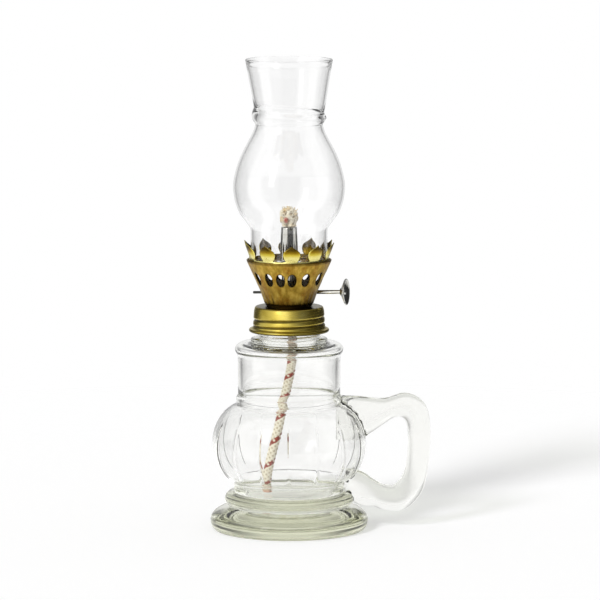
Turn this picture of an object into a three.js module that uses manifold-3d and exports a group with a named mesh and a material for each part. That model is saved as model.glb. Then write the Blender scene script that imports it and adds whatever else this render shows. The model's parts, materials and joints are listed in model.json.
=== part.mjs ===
// A small hurricane lamp with a handled glass font, a screw-on burner and a glass chimney.
// Millimetres, +Z up. The origin is the centre of the foot's flat underside, the handle is
// toward +X, and angles round the lamp start at -Y, its front, and grow toward +X.

import * as THREE from 'three';
import { mergeVertices } from 'three/addons/utils/BufferGeometryUtils.js';
import Module from 'manifold-3d';

// Clearances and the one overrun of all cuts
const seatGap = 0.3;
const runningGap = 0.3;
const overrun = 1;
const mergeDistance = 0.0001;

// Glass font: foot, ring, band, bulb, waist bead, shoulder and neck
const footUnderRadius = 34.6;
const footRadius = 37;
const footEdgeHeight = 4.4;
const footCrownHeight = 6.6;
const ringRootRadius = 26.6;
const ringBulge = 3.6;
const ringHeight = 6.8;
const bandRadius = 26;
const bandHeight = 3.5;
const bulbRadius = 36.1;
const bulbCoreRadius = 21;
const bulbLowerHeight = 18.5;
const bulbUpperHeight = 19.6;
const beadBulge = 1.3;
const beadHeight = 3.8;
const shoulderTubeRadius = 23.9;
const shoulderTubeHeight = 19.4;
const shoulderBulge = 1.4;
const shoulderRollHeight = 3.1;
const shoulderRollWidth = 3.8;
const neckFlangeRadius = 18;
const neckFlangeHeight = 2.4;
const neckRadius = 14.6;
const neckHeight = 12.9;
const neckBoreRadius = 12.2;
const glassWall = 2.4;
const fontFloorHeight = 13;
const fontFloorRadius = 18.8;

// Flutes pressed into the bulb
const fluteCount = 16;
const fluteWidth = 2;
const fluteDepth = 0.6;
const fluteLowShare = 0.06;
const fluteHighShare = 0.72;
const fluteSteps = 6;

// Handle of hot-worked glass
const handleReach = 66.2;
const handleRootRadius = 22;
const handleHeight = 56;
const handleFootHeight = 8.2;
const handleDepth = 8.6;
const handleRound = 2.6;
const handlePointsPerShare = 1.4;
// Side view of the handle as shares of its reach and height, from its upper root round its
// outside to its lower root, and back round the finger gap
const handleOuterShares = [
  [0, 0.98], [0.24, 0.972], [0.37, 0.96], [0.5, 0.955], [0.6, 0.975], [0.72, 1], [0.83, 0.98],
  [0.91, 0.935], [0.97, 0.86], [0.995, 0.745], [1, 0.62], [0.99, 0.46], [0.96, 0.295],
  [0.92, 0.175], [0.83, 0.077], [0.73, 0.015], [0.65, 0], [0.485, 0.013], [0.4, 0.037],
  [0.34, 0.02], [0.25, 0.04], [0.1, 0.12],
];
const handleInnerShares = [
  [0.1, 0.34], [0.26, 0.345], [0.39, 0.27], [0.49, 0.227], [0.565, 0.21], [0.625, 0.227],
  [0.687, 0.28], [0.727, 0.353], [0.75, 0.46], [0.76, 0.58], [0.755, 0.687], [0.736, 0.76],
  [0.685, 0.8], [0.634, 0.8], [0.543, 0.76], [0.44, 0.703], [0.356, 0.657], [0.24, 0.6],
  [0, 0.62],
];

// Screw thread shared by the neck and the collar
const threadPitch = 3.1;
const neckRidgeHeight = 0.8;
const collarGrooveDepth = 0.9;
const threadFade = 1;

// Seal ring between the neck and the collar
const sealThickness = 0.7;
const sealWidth = 2;

// Screw collar of rolled sheet
const collarSheet = 0.5;
const collarRadius = 16.5;
const collarShoulderRadius = 15.9;
const collarShoulderRound = 1.1;
const collarSkirtRadius = 16.9;
const collarLipRadius = 18.7;
const collarLipHeight = 1.3;
const collarHeight = 11.9;
const collarGrooveDrop = 5.4;
const collarPlainTop = 4;
const collarPlainSkirt = 1;

// Ferrule that clinches the cone and the collar together
const ferruleRadius = 10.2;
const ferruleSheet = 0.5;
const ferruleFlange = 0.7;
const ferruleLowerFlange = 1.3;
const ferruleBeadBulge = 0.8;
const ferruleBeadHeight = 0.9;

// Pierced cone
const coneSheet = 0.45;
const coneFootRadius = 11.4;
const coneWaistRadius = 13.5;
const coneRimRadius = 19.8;
const coneFootHeight = 6;
const coneFlareHeight = 13.5;
const coneFoldHeight = 0.9;
const coneFoldWidth = 0.75;
const airHoleWidth = 3.8;
const airHoleLength = 5.6;
// The back holes lie across from the front ones, so that light passes through both
const airHoleDegrees = [-63, -35, -14, 5, 29, 59, 86, 121, 151, 175, 194, 215, 243, 270];

// Air plate inside the cone, which carries the chimney and the crown
const plateSheet = 0.5;
const plateDrop = 1;
const plateHoleCount = 12;
const plateHoleRadius = 1.4;
const plateHoleCircle = 11;

// Crown of spring petals round the chimney
const crownSheet = 0.45;
const crownRingHeight = 1.8;
const petalCount = 10;
const petalStartDegrees = 4;
const petalWidth = 7.8;
const petalHeight = 8;
const petalFlare = 2.4;
const petalWidthShares = [0.76, 0.9, 1, 0.96, 0.72, 0.38, 0.06];

// Wick tube
const tubeBoreRadius = 2.65;
const tubeMouthRadius = 3.7;
const tubeBaseRadius = 4.25;
const tubeStemRadius = 3.4;
const tubeFlange = 1.6;
const tubeFlangeSheet = 0.4;
const tubeRise = 17;
const tubeDrop = 4;
const tubeMouthRound = 0.4;

// Wick winder: shaft, toothed wheel, wheel box and dished knob
const winderYawDegrees = 14;
const winderTiltDegrees = 2;
const winderLift = 4.3;
const wheelTeeth = 12;
const wheelTipRadius = 3.4;
const wheelRootRadius = 2.6;
const wheelThickness = 2.4;
// A tooth's corners as shares of its pitch round the wheel, each with its radius
const toothOutline = [
  [0.2, wheelRootRadius], [0.38, wheelTipRadius], [0.62, wheelTipRadius], [0.8, wheelRootRadius],
];
const boxSheet = 0.5;
const boxShort = 1;
const shaftRadius = 0.95;
const shaftStubRadius = 0.62;
const shaftStubLength = 8.6;
const shaftLeftReach = 18.8;
const shaftRightReach = 24.5;
const knobRadius = 6.2;
const knobHubRadius = 1.9;
const knobDepth = 3;
const knobHubDepth = 1.2;
const knobRim = 0.55;
const knobDish = 1.5;

// Wick: the length in the tube with its frayed head, and the free tail in the font
const wickRadius = 2.15;
const wickHeadRadius = 4.4;
const wickHeadHeight = 9.4;
const wickTailSides = 8;
const wickTailSteps = 12;
const wickTailRoute = [
  [0, 0, 100], [0.3, 0, 97.5], [0.9, 0, 94.5], [1.5, -0.2, 91.5], [1.8, -0.4, 88],
  [1.6, -0.6, 84], [1.1, -0.8, 80], [0.6, -0.9, 75], [-0.3, -0.9, 70], [-1.4, -0.8, 65],
  [-2.5, -0.6, 60], [-3.5, -0.4, 55], [-4.6, -0.2, 49], [-6, 0, 43], [-7.6, 0.2, 37],
  [-9, 0.3, 31.5], [-10, 0.3, 26.5], [-10.6, 0.2, 21.5], [-10.5, 0, 17.5], [-10.1, -0.1, 14.6],
];

// Chimney of blown glass
const chimneyWall = 1.2;
const fitterRadius = 17.9;
const fitterHeight = 14.2;
const bulgeRadius = 26.15;
const bulgeLowerHeight = 20.5;
const bulgeUpperHeight = 29.5;
const throatRadius = 15.6;
const throatBeadBulge = 1.6;
const throatBeadHeight = 6;
const flareHeight = 23.8;
const mouthRadius = 20.4;
const mouthLip = 0.4;
const bulgeSteps = 12;
const bulgeLowerShares = [[0, 0], [0.09, 0.05], [0.22, 0.27], [0.44, 0.66], [0.71, 0.91], [1, 1]];
const bulgeUpperShares = [[0, 1], [0.17, 0.95], [0.41, 0.76], [0.62, 0.49], [0.87, 0.12], [1, 0]];

// Sides of the turned pieces
const collarSides = 40;
const coneSides = 48;
const fontSides = 40;
const chimneySides = 32;
const holeSides = 8;
const rowsPerTurn = 3;
const ringSides = 28;
const tubeSides = 20;
const pinSides = 12;

// Heights that stack up from the foot to the chimney
const creaseHeight = footEdgeHeight + footCrownHeight;
const ringTop = creaseHeight + ringHeight;
const bandTop = ringTop + bandHeight;
const bulbMiddle = bandTop + bulbLowerHeight;
const bulbTop = bulbMiddle + bulbUpperHeight;
const beadTop = bulbTop + beadHeight;
const shoulderTubeTop = beadTop + shoulderTubeHeight;
const shoulderMiddle = shoulderTubeTop + shoulderRollHeight * Math.sin(Math.PI / 4);
const shoulderTop = shoulderMiddle + shoulderRollHeight;
const neckFlangeTop = shoulderTop + neckFlangeHeight;
const neckTop = neckFlangeTop + neckHeight;
const sealBottom = neckTop + seatGap;
const collarTop = sealBottom + sealThickness + seatGap + collarSheet;
const coneBottom = collarTop + seatGap + ferruleBeadHeight + seatGap;
const coneWaist = coneBottom + coneFootHeight;
const coneRim = coneWaist + coneFlareHeight;
const plateTop = coneRim - plateDrop + plateSheet;
const tubeTop = plateTop + tubeRise;
const webTop = collarTop + ferruleSheet;
const tubeBottom = webTop - ferruleSheet - tubeDrop;
const chimneyBottom = plateTop + seatGap;
const grooveHeight = collarTop - collarGrooveDrop;

// Angles
const wholeTurn = 2 * Math.PI;
const quarterTurn = Math.PI / 2;

const wasm = await Module();
wasm.setup();

function radians(degrees) {
  return THREE.MathUtils.degToRad(degrees);
}

function point(radius, height) {
  return new THREE.Vector2(radius, height);
}

// Points of an ellipse's arc about a centre, from one angle to the other
function arc(centre, halfWidth, halfHeight, fromDegrees, toDegrees, steps) {
  const points = [];
  for (let step = 0; step <= steps; step++) {
    const angle = radians(THREE.MathUtils.lerp(fromDegrees, toDegrees, step / steps));
    points.push(point(
      centre.x + halfWidth * Math.cos(angle),
      centre.y + halfHeight * Math.sin(angle),
    ));
  }
  return points;
}

// Corners of a circle about a place, one for each side
function circle(x, y, radius, sides) {
  const points = [];
  for (let side = 0; side < sides; side++) {
    const angle = side * wholeTurn / sides;
    points.push(point(x + radius * Math.cos(angle), y + radius * Math.sin(angle)));
  }
  return points;
}

// The same outline moved sideways by a distance, to the left of its direction
function offset(points, distance) {
  return points.map((here, n) => {
    const before = points[Math.max(n - 1, 0)];
    const after = points[Math.min(n + 1, points.length - 1)];
    const along = after.clone().sub(before).normalize();
    return point(here.x - along.y * distance, here.y + along.x * distance);
  });
}

// A closed mesh whose shared corners are one vertex and whose collapsed faces are gone
function tidied(geometry) {
  geometry.deleteAttribute('normal');
  geometry.deleteAttribute('uv');
  const merged = mergeVertices(geometry, mergeDistance);
  const corners = merged.getIndex().array;
  const kept = [];
  for (let n = 0; n < corners.length; n += 3) {
    const [a, b, c] = [corners[n], corners[n + 1], corners[n + 2]];
    if (a !== b && b !== c && c !== a) {
      kept.push(a, b, c);
    }
  }
  merged.setIndex(kept);
  return merged;
}

// A profile turned about the Z axis; bend may give each corner its own radius and angle
function turned(profile, sides, bend) {
  const geometry = new THREE.LatheGeometry(profile, sides);
  if (bend) {
    const place = geometry.getAttribute('position');
    for (let n = 0; n < place.count; n++) {
      const side = Math.floor(n / profile.length) % sides;
      const row = n % profile.length;
      const { radius, angle } = bend(profile[row], row, side);
      place.setXYZ(n, radius * Math.sin(angle), profile[row].y, radius * Math.cos(angle));
    }
  }
  return tidied(geometry).rotateX(quarterTurn);
}

function closed(points) {
  return [...points, points[0].clone()];
}

function solid(geometry) {
  return new wasm.Manifold(new wasm.Mesh({
    numProp: 3,
    vertProperties: geometry.getAttribute('position').array,
    triVerts: new Uint32Array(geometry.getIndex().array),
  }));
}

function geometryOf(manifold) {
  const mesh = manifold.getMesh();
  const geometry = new THREE.BufferGeometry();
  geometry.setAttribute('position', new THREE.BufferAttribute(mesh.vertProperties, 3));
  geometry.setIndex(new THREE.BufferAttribute(mesh.triVerts, 1));
  return geometry;
}

function cut(geometry, ...tools) {
  let result = solid(geometry);
  for (const tool of tools) {
    result = result.subtract(solid(tool));
  }
  return geometryOf(result);
}

function joined(...geometries) {
  let result = solid(geometries[0]);
  for (const geometry of geometries.slice(1)) {
    result = result.add(solid(geometry));
  }
  return geometryOf(result);
}

// How far a height is inside the threaded span, from 0 at its ends to 1
function threadShare(height, low, high) {
  return THREE.MathUtils.clamp(Math.min(height - low, high - height) / threadFade, 0, 1);
}

// The right-hand helix of the thread: 1 along the collar's groove, 0 along the neck's ridge
function helixShare(height, angle) {
  return (1 + Math.cos(wholeTurn * (height - grooveHeight) / threadPitch - angle)) / 2;
}

// Outside of the font, from the axis under the foot to the top of the neck
function fontOutside() {
  const edge = point(footUnderRadius, footEdgeHeight);
  const crown = point(ringRootRadius, footEdgeHeight);
  const ring = point(ringRootRadius, creaseHeight + ringHeight / 2);
  const waistBead = point(shoulderTubeRadius, bulbTop + beadHeight / 2);
  const roll = point(shoulderTubeRadius + shoulderBulge - shoulderRollWidth, shoulderMiddle);
  return [
    point(0, 0),
    ...arc(edge, footRadius - footUnderRadius, footEdgeHeight, -90, 0, 2),
    ...arc(crown, footRadius - ringRootRadius, footCrownHeight, 22, 90, 4),
    ...arc(ring, ringBulge, ringHeight / 2, -60, 60, 3),
    point(bandRadius, ringTop),
    ...arc(bulbCentre(), bulbRadius - bulbCoreRadius, bulbLowerHeight, -70, 0, 5),
    ...arc(bulbCentre(), bulbRadius - bulbCoreRadius, bulbUpperHeight, 15, 75, 4),
    ...arc(waistBead, beadBulge, beadHeight / 2, -50, 60, 2),
    point(shoulderTubeRadius, beadTop),
    ...arc(roll, shoulderRollWidth, shoulderRollHeight, -45, 90, 4),
    point(neckFlangeRadius, shoulderTop + neckFlangeHeight / 3),
    point(neckFlangeRadius - neckFlangeHeight / 3, neckFlangeTop - neckFlangeHeight / 4),
    point(neckRadius, neckFlangeTop),
  ];
}

function bulbCentre() {
  return point(bulbCoreRadius, bulbMiddle);
}

// Inside of the font, from the neck's bore down to the axis on the floor
function fontInside() {
  const innerTube = shoulderTubeRadius - glassWall;
  const halfWidth = bulbRadius - bulbCoreRadius - glassWall;
  return [
    point(neckBoreRadius, neckFlangeTop),
    point((neckBoreRadius + innerTube) / 2, shoulderTop - glassWall / 2),
    point(innerTube, shoulderMiddle - glassWall / 2),
    point(innerTube, beadTop),
    ...arc(bulbCentre(), halfWidth, bulbUpperHeight - glassWall / 2, 62, 8, 3),
    ...arc(bulbCentre(), halfWidth, bulbLowerHeight, -10, -66, 3),
    point(bandRadius - glassWall, ringTop),
    point(fontFloorRadius, fontFloorHeight + glassWall / 4),
    point(0, fontFloorHeight),
  ];
}

// The bulb's outside radius at a height
function bulbRadiusAt(height) {
  const reach = height < bulbMiddle ? bulbLowerHeight : bulbUpperHeight;
  const rise = (height - bulbMiddle) / reach;
  return bulbCoreRadius + (bulbRadius - bulbCoreRadius) * Math.sqrt(1 - rise * rise);
}

// The tool of one flute: a square bar on edge that follows the bulb and leaves it at both ends
function fluteTool(angle) {
  const low = THREE.MathUtils.lerp(bandTop, bulbTop, fluteLowShare);
  const high = THREE.MathUtils.lerp(bandTop, bulbTop, fluteHighShare);
  const half = fluteWidth / 2;
  const places = [];
  for (let step = 0; step <= fluteSteps; step++) {
    const share = step / fluteSteps;
    const height = THREE.MathUtils.lerp(low, high, share);
    const depth = fluteDepth * Math.sqrt(Math.sin(Math.PI * share));
    places.push(new THREE.Vector3(bulbRadiusAt(height) + half - depth, 0, height));
  }
  const section = new THREE.Shape(circle(0, 0, half, 4));
  const bar = new THREE.ExtrudeGeometry(section, {
    steps: fluteSteps,
    extrudePath: new THREE.CatmullRomCurve3(places),
    bevelEnabled: false,
  });
  return tidied(bar).rotateZ(angle - quarterTurn);
}

function font() {
  const outside = fontOutside();
  const low = neckFlangeTop + seatGap;
  const high = neckTop - glassWall / 2;
  const rows = Math.round(rowsPerTurn * (high - low) / threadPitch);
  const neck = [];
  for (let row = 0; row <= rows; row++) {
    neck.push(point(neckRadius, THREE.MathUtils.lerp(low, high, row / rows)));
  }
  const mouth = [
    point(neckRadius - glassWall / 4, neckTop),
    point(neckBoreRadius, neckTop),
  ];
  const profile = [...outside, ...neck, ...mouth, ...fontInside()];
  const body = turned(profile, fontSides, (corner, row, side) => {
    const angle = side * wholeTurn / fontSides;
    const inNeck = row >= outside.length && row < outside.length + neck.length;
    const share = inNeck ? threadShare(corner.y, low, high) * (1 - helixShare(corner.y, angle)) : 0;
    return { radius: corner.x + neckRidgeHeight * share, angle };
  });
  const flutes = [];
  for (let flute = 0; flute < fluteCount; flute++) {
    flutes.push(fluteTool(flute * wholeTurn / fluteCount));
  }
  return cut(body, ...flutes);
}

function handlePoints(shares) {
  const places = shares.map(([across, up]) => point(
    handleRootRadius + across * (handleReach - handleRootRadius),
    handleFootHeight + up * handleHeight,
  ));
  return new THREE.SplineCurve(places).getPoints(Math.round(handlePointsPerShare * shares.length));
}

function handle() {
  const outline = new THREE.Shape([
    ...handlePoints(handleOuterShares),
    ...handlePoints(handleInnerShares),
  ]);
  const bar = new THREE.ExtrudeGeometry(outline, {
    depth: handleDepth - 2 * handleRound,
    bevelThickness: handleRound,
    bevelSize: handleRound,
    bevelOffset: -handleRound,
    bevelSegments: 2,
    steps: 1,
  });
  bar.translate(0, 0, handleRound - handleDepth / 2);
  const outside = fontOutside();
  const grown = offset(outside, -seatGap).slice(1);
  const body = [
    point(0, -overrun),
    point(footUnderRadius, -overrun),
    ...grown,
    point(0, neckFlangeTop + overrun),
  ];
  return cut(tidied(bar).rotateX(quarterTurn), turned(body, fontSides));
}

function collarSeal() {
  const outer = neckRadius - seatGap;
  const bottom = sealBottom;
  return turned(closed([
    point(outer - sealWidth, bottom),
    point(outer, bottom),
    point(outer, bottom + sealThickness),
    point(outer - sealWidth, bottom + sealThickness),
  ]), ringSides);
}

function screwCollar() {
  const bottom = collarTop - collarHeight;
  const lipTop = bottom + collarLipHeight;
  const threadLow = lipTop + collarPlainSkirt;
  const threadHigh = collarTop - collarPlainTop;
  const rows = Math.round(rowsPerTurn * (threadHigh - threadLow) / threadPitch);
  const outerWall = [];
  const innerWall = [];
  for (let row = 0; row <= rows; row++) {
    const height = THREE.MathUtils.lerp(threadLow, threadHigh, row / rows);
    outerWall.push(point(collarRadius, height));
    innerWall.unshift(point(collarRadius - collarSheet, height));
  }
  const round = point(collarShoulderRadius - collarShoulderRound, collarTop - collarShoulderRound);
  const profile = closed([
    point(ferruleRadius + seatGap, collarTop - collarSheet),
    ...arc(round, collarShoulderRound - collarSheet, collarShoulderRound - collarSheet, 90, 0, 1),
    ...innerWall,
    point(collarSkirtRadius - collarSheet, lipTop),
    point(collarLipRadius - collarSheet, bottom),
    point(collarLipRadius, bottom + collarSheet / 2),
    point(collarSkirtRadius, lipTop + collarSheet / 2),
    ...outerWall,
    ...arc(round, collarShoulderRound, collarShoulderRound, 0, 90, 2),
    point(ferruleRadius + seatGap, collarTop),
  ]);
  return turned(profile, collarSides, (corner, row, side) => {
    const angle = side * wholeTurn / collarSides;
    const share = threadShare(corner.y, threadLow, threadHigh) * helixShare(corner.y, angle);
    return { radius: corner.x - collarGrooveDepth * share, angle };
  });
}

function ferrule() {
  const inner = ferruleRadius - ferruleSheet;
  const beadBottom = collarTop + seatGap;
  const beadMiddle = beadBottom + ferruleBeadHeight / 2;
  const lowerFlangeTop = collarTop - collarSheet - seatGap;
  const upperFlangeBottom = coneBottom + coneSheet + seatGap;
  const hole = tubeStemRadius + seatGap;
  return turned(closed([
    point(hole, webTop - ferruleSheet),
    point(inner, webTop - ferruleSheet),
    point(inner, lowerFlangeTop - ferruleSheet),
    point(ferruleRadius + ferruleLowerFlange, lowerFlangeTop - ferruleSheet),
    point(ferruleRadius + ferruleLowerFlange, lowerFlangeTop),
    point(ferruleRadius, lowerFlangeTop),
    point(ferruleRadius, beadBottom),
    point(ferruleRadius + ferruleBeadBulge, beadMiddle),
    point(ferruleRadius, beadBottom + ferruleBeadHeight),
    point(ferruleRadius, upperFlangeBottom),
    point(ferruleRadius + ferruleFlange, upperFlangeBottom),
    point(ferruleRadius + ferruleFlange, upperFlangeBottom + ferruleSheet),
    point(inner, upperFlangeBottom + ferruleSheet),
    point(inner, webTop),
    point(hole, webTop),
  ]), ringSides);
}

// The cone's lean from upright, its wall measured level, and its outside radius at a height
const coneLean = Math.atan2(coneRimRadius - coneWaistRadius, coneFlareHeight);
const coneWallAcross = coneSheet / Math.cos(coneLean);

function coneRadiusAt(height) {
  return THREE.MathUtils.mapLinear(height, coneWaist, coneRim, coneWaistRadius, coneRimRadius);
}

// The winder's own frame: +X along its shaft to the knob, +Y away from the wick
const wheelCentreDistance = wickRadius + runningGap + wheelTipRadius;
const winderTurn = new THREE.Euler(0, -radians(winderTiltDegrees), -radians(winderYawDegrees), 'ZYX');
const winderPlace = new THREE.Vector3(0, wheelCentreDistance, 0).applyEuler(winderTurn);
winderPlace.z = coneBottom + winderLift;
const winderMatrix = new THREE.Matrix4().compose(
  winderPlace,
  new THREE.Quaternion().setFromEuler(winderTurn),
  new THREE.Vector3(1, 1, 1),
);

// A round bar along the winder's +X from one place to another
function bar(radius, from, to) {
  const geometry = tidied(new THREE.CylinderGeometry(radius, radius, to - from, pinSides));
  return geometry.rotateZ(-quarterTurn).translate((from + to) / 2, 0, 0);
}

function burnerCone() {
  const foldTop = coneRim + coneFoldHeight;
  const holeHeight = coneRim - airHoleLength / 2 - coneFlareHeight / 3;
  const shell = turned(closed([
    point(ferruleRadius + seatGap, coneBottom),
    point(coneFootRadius, coneBottom),
    point(coneWaistRadius, coneWaist),
    point(coneRimRadius, coneRim),
    point(coneRimRadius - coneFoldWidth / 3, foldTop),
    point(coneRimRadius - coneFoldWidth, foldTop),
    point(coneRimRadius - coneFoldWidth, coneRim + coneSheet / 2),
    point(coneRimRadius - coneWallAcross, coneRim),
    point(coneWaistRadius - coneWallAcross, coneWaist),
    point(coneFootRadius - coneWallAcross, coneBottom + coneSheet),
    point(ferruleRadius + seatGap, coneBottom + coneSheet),
  ]), coneSides);
  const punch = airHoleWidth / 2;
  const airHoles = airHoleDegrees.map((degrees) => {
    const tool = tidied(new THREE.CylinderGeometry(punch, punch, 2 * overrun, holeSides));
    tool.scale(1, 1, airHoleLength / airHoleWidth);
    tool.rotateX(coneLean).translate(0, -coneRadiusAt(holeHeight) + coneWallAcross / 2, holeHeight);
    return tool.rotateZ(radians(degrees));
  });
  const bearings = [
    bar(shaftRadius + runningGap, 0, shaftRightReach).applyMatrix4(winderMatrix),
    bar(shaftStubRadius + runningGap, -shaftLeftReach, 0).applyMatrix4(winderMatrix),
  ];
  return cut(shell, ...airHoles, ...bearings);
}

function airPlate() {
  const outer = coneRadiusAt(plateTop - plateSheet) - coneWallAcross - seatGap;
  const disc = new THREE.Shape(circle(0, 0, outer, coneSides));
  disc.holes.push(new THREE.Path(circle(0, 0, tubeStemRadius + seatGap, tubeSides)));
  for (let n = 0; n < plateHoleCount; n++) {
    const angle = n * wholeTurn / plateHoleCount;
    const x = plateHoleCircle * Math.cos(angle);
    const y = plateHoleCircle * Math.sin(angle);
    disc.holes.push(new THREE.Path(circle(x, y, plateHoleRadius, holeSides)));
  }
  const geometry = new THREE.ExtrudeGeometry(disc, { depth: plateSheet, bevelEnabled: false });
  return tidied(geometry).translate(0, 0, plateTop - plateSheet);
}

// One petal: a box bent to the ring's radius, flared outward and narrowed to a point
function petal(degrees, ringRadius, bottom) {
  const rows = petalWidthShares.length - 1;
  const geometry = tidied(new THREE.BoxGeometry(1, 1, 1, 2, rows, 1));
  const place = geometry.getAttribute('position');
  for (let n = 0; n < place.count; n++) {
    const up = place.getY(n) + 0.5;
    const width = petalWidth * petalWidthShares[Math.round(up * rows)];
    const middle = ringRadius + petalFlare * up * up * up;
    const radius = middle + place.getZ(n) * crownSheet;
    const angle = radians(degrees) + place.getX(n) * width / middle;
    place.setXYZ(n, radius * Math.sin(angle), -radius * Math.cos(angle), bottom + up * petalHeight);
  }
  return geometry;
}

function petalCrown() {
  const inner = fitterRadius + seatGap;
  const bottom = plateTop + seatGap;
  const top = bottom + crownRingHeight;
  const ring = turned(closed([
    point(inner, bottom),
    point(inner + crownSheet, bottom),
    point(inner + crownSheet, top),
    point(inner, top),
  ]), coneSides);
  const petals = [];
  for (let n = 0; n < petalCount; n++) {
    const degrees = petalStartDegrees + n * 360 / petalCount;
    petals.push(petal(degrees, inner + crownSheet / 2, top - crownSheet));
  }
  return joined(ring, ...petals);
}

function wickTube() {
  const footFlangeTop = webTop - ferruleSheet - seatGap;
  const plateFlange = plateTop + seatGap;
  const tube = turned(closed([
    point(tubeBoreRadius, tubeBottom),
    point(tubeStemRadius, tubeBottom),
    point(tubeStemRadius, footFlangeTop - tubeFlangeSheet),
    point(tubeStemRadius + tubeFlange, footFlangeTop - tubeFlangeSheet),
    point(tubeStemRadius + tubeFlange, footFlangeTop),
    point(tubeStemRadius, footFlangeTop),
    point(tubeStemRadius, plateFlange),
    point(tubeBaseRadius + tubeFlange, plateFlange),
    point(tubeBaseRadius + tubeFlange, plateFlange + tubeFlangeSheet),
    point(tubeBaseRadius, plateFlange + tubeFlange),
    point(tubeMouthRadius, tubeTop - tubeMouthRound),
    point(tubeMouthRadius - tubeMouthRound, tubeTop),
    point(tubeBoreRadius, tubeTop),
  ]), tubeSides);
  const slot = new THREE.BoxGeometry(
    wheelThickness + 2 * runningGap,
    2 * wheelTipRadius,
    2 * (wheelTipRadius + runningGap),
  );
  slot.translate(0, tubeBoreRadius / 2 + wheelTipRadius - wheelCentreDistance, 0);
  return cut(tube, tidied(slot).applyMatrix4(winderMatrix));
}

// A cover over the toothed wheel, open below and toward the wick tube
function wheelBox() {
  const halfInside = wheelThickness / 2 + runningGap;
  const reach = wheelTipRadius + runningGap;
  const span = wheelCentreDistance + reach;
  const outside = new THREE.BoxGeometry(
    2 * (halfInside + boxSheet),
    span + boxSheet,
    2 * reach - boxShort,
  );
  outside.translate(0, (reach + boxSheet - wheelCentreDistance) / 2, boxSheet + boxShort / 2);
  const inside = new THREE.BoxGeometry(2 * halfInside, span + overrun, 2 * reach + overrun);
  inside.translate(0, (reach - wheelCentreDistance - overrun) / 2, -overrun / 2);
  const stemHole = tubeStemRadius + seatGap;
  const stem = tidied(new THREE.CylinderGeometry(stemHole, stemHole, 2 * span, tubeSides));
  stem.rotateX(quarterTurn).translate(0, 0, winderPlace.z);
  const shaftHole = bar(shaftRadius + runningGap, -2 * reach, 2 * reach);
  const box = cut(tidied(outside), tidied(inside), shaftHole).applyMatrix4(winderMatrix);
  return cut(box, stem);
}

function spurWheel() {
  const outline = [];
  for (let tooth = 0; tooth < wheelTeeth; tooth++) {
    for (const [share, radius] of toothOutline) {
      const angle = (tooth + share) * wholeTurn / wheelTeeth;
      outline.push(point(radius * Math.cos(angle), radius * Math.sin(angle)));
    }
  }
  const wheel = new THREE.Shape(outline);
  wheel.holes.push(new THREE.Path().absarc(0, 0, shaftRadius + seatGap, 0, wholeTurn, true));
  const geometry = new THREE.ExtrudeGeometry(wheel, {
    depth: wheelThickness,
    bevelEnabled: false,
    curveSegments: pinSides / 2,
  });
  return tidied(geometry).translate(0, 0, -wheelThickness / 2).rotateY(quarterTurn);
}

// A turned profile whose heights run along the winder's +X
function alongShaft(profile, sides) {
  return turned(profile, sides).rotateY(quarterTurn);
}

function winderShaft() {
  return alongShaft([
    point(0, -shaftLeftReach),
    point(shaftStubRadius, -shaftLeftReach),
    point(shaftStubRadius, shaftStubLength - shaftLeftReach),
    point(shaftRadius, shaftStubLength - shaftLeftReach),
    point(shaftRadius, shaftRightReach),
    point(0, shaftRightReach),
  ], pinSides);
}

function winderKnob() {
  const back = shaftRightReach - knobHubDepth;
  const rim = back + knobDepth;
  const bore = shaftRadius + seatGap;
  return alongShaft([
    point(0, shaftRightReach + seatGap),
    point(bore, shaftRightReach + seatGap),
    point(bore, back),
    point(knobHubRadius, back),
    point(knobRadius, rim - knobRim),
    point(knobRadius, rim),
    point(knobRadius - knobRim, rim),
    point(knobHubRadius, rim - knobDish / 2),
    point(0, rim - knobDish / 2),
  ], 2 * pinSides);
}

function wick() {
  const headBottom = tubeTop + seatGap;
  const head = point(0, headBottom + wickHeadHeight / 2);
  return turned([
    point(0, tubeBottom - seatGap),
    point(wickRadius, tubeBottom - seatGap),
    point(wickRadius, headBottom),
    ...arc(head, wickHeadRadius, wickHeadHeight / 2, -60, 60, 4),
    point(0, headBottom + wickHeadHeight),
  ], pinSides);
}

function wickTail() {
  const places = wickTailRoute.map((place) => new THREE.Vector3(...place));
  const section = new THREE.Shape(circle(0, 0, wickRadius, wickTailSides));
  return tidied(new THREE.ExtrudeGeometry(section, {
    steps: wickTailSteps,
    extrudePath: new THREE.CatmullRomCurve3(places),
    bevelEnabled: false,
  }));
}

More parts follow.
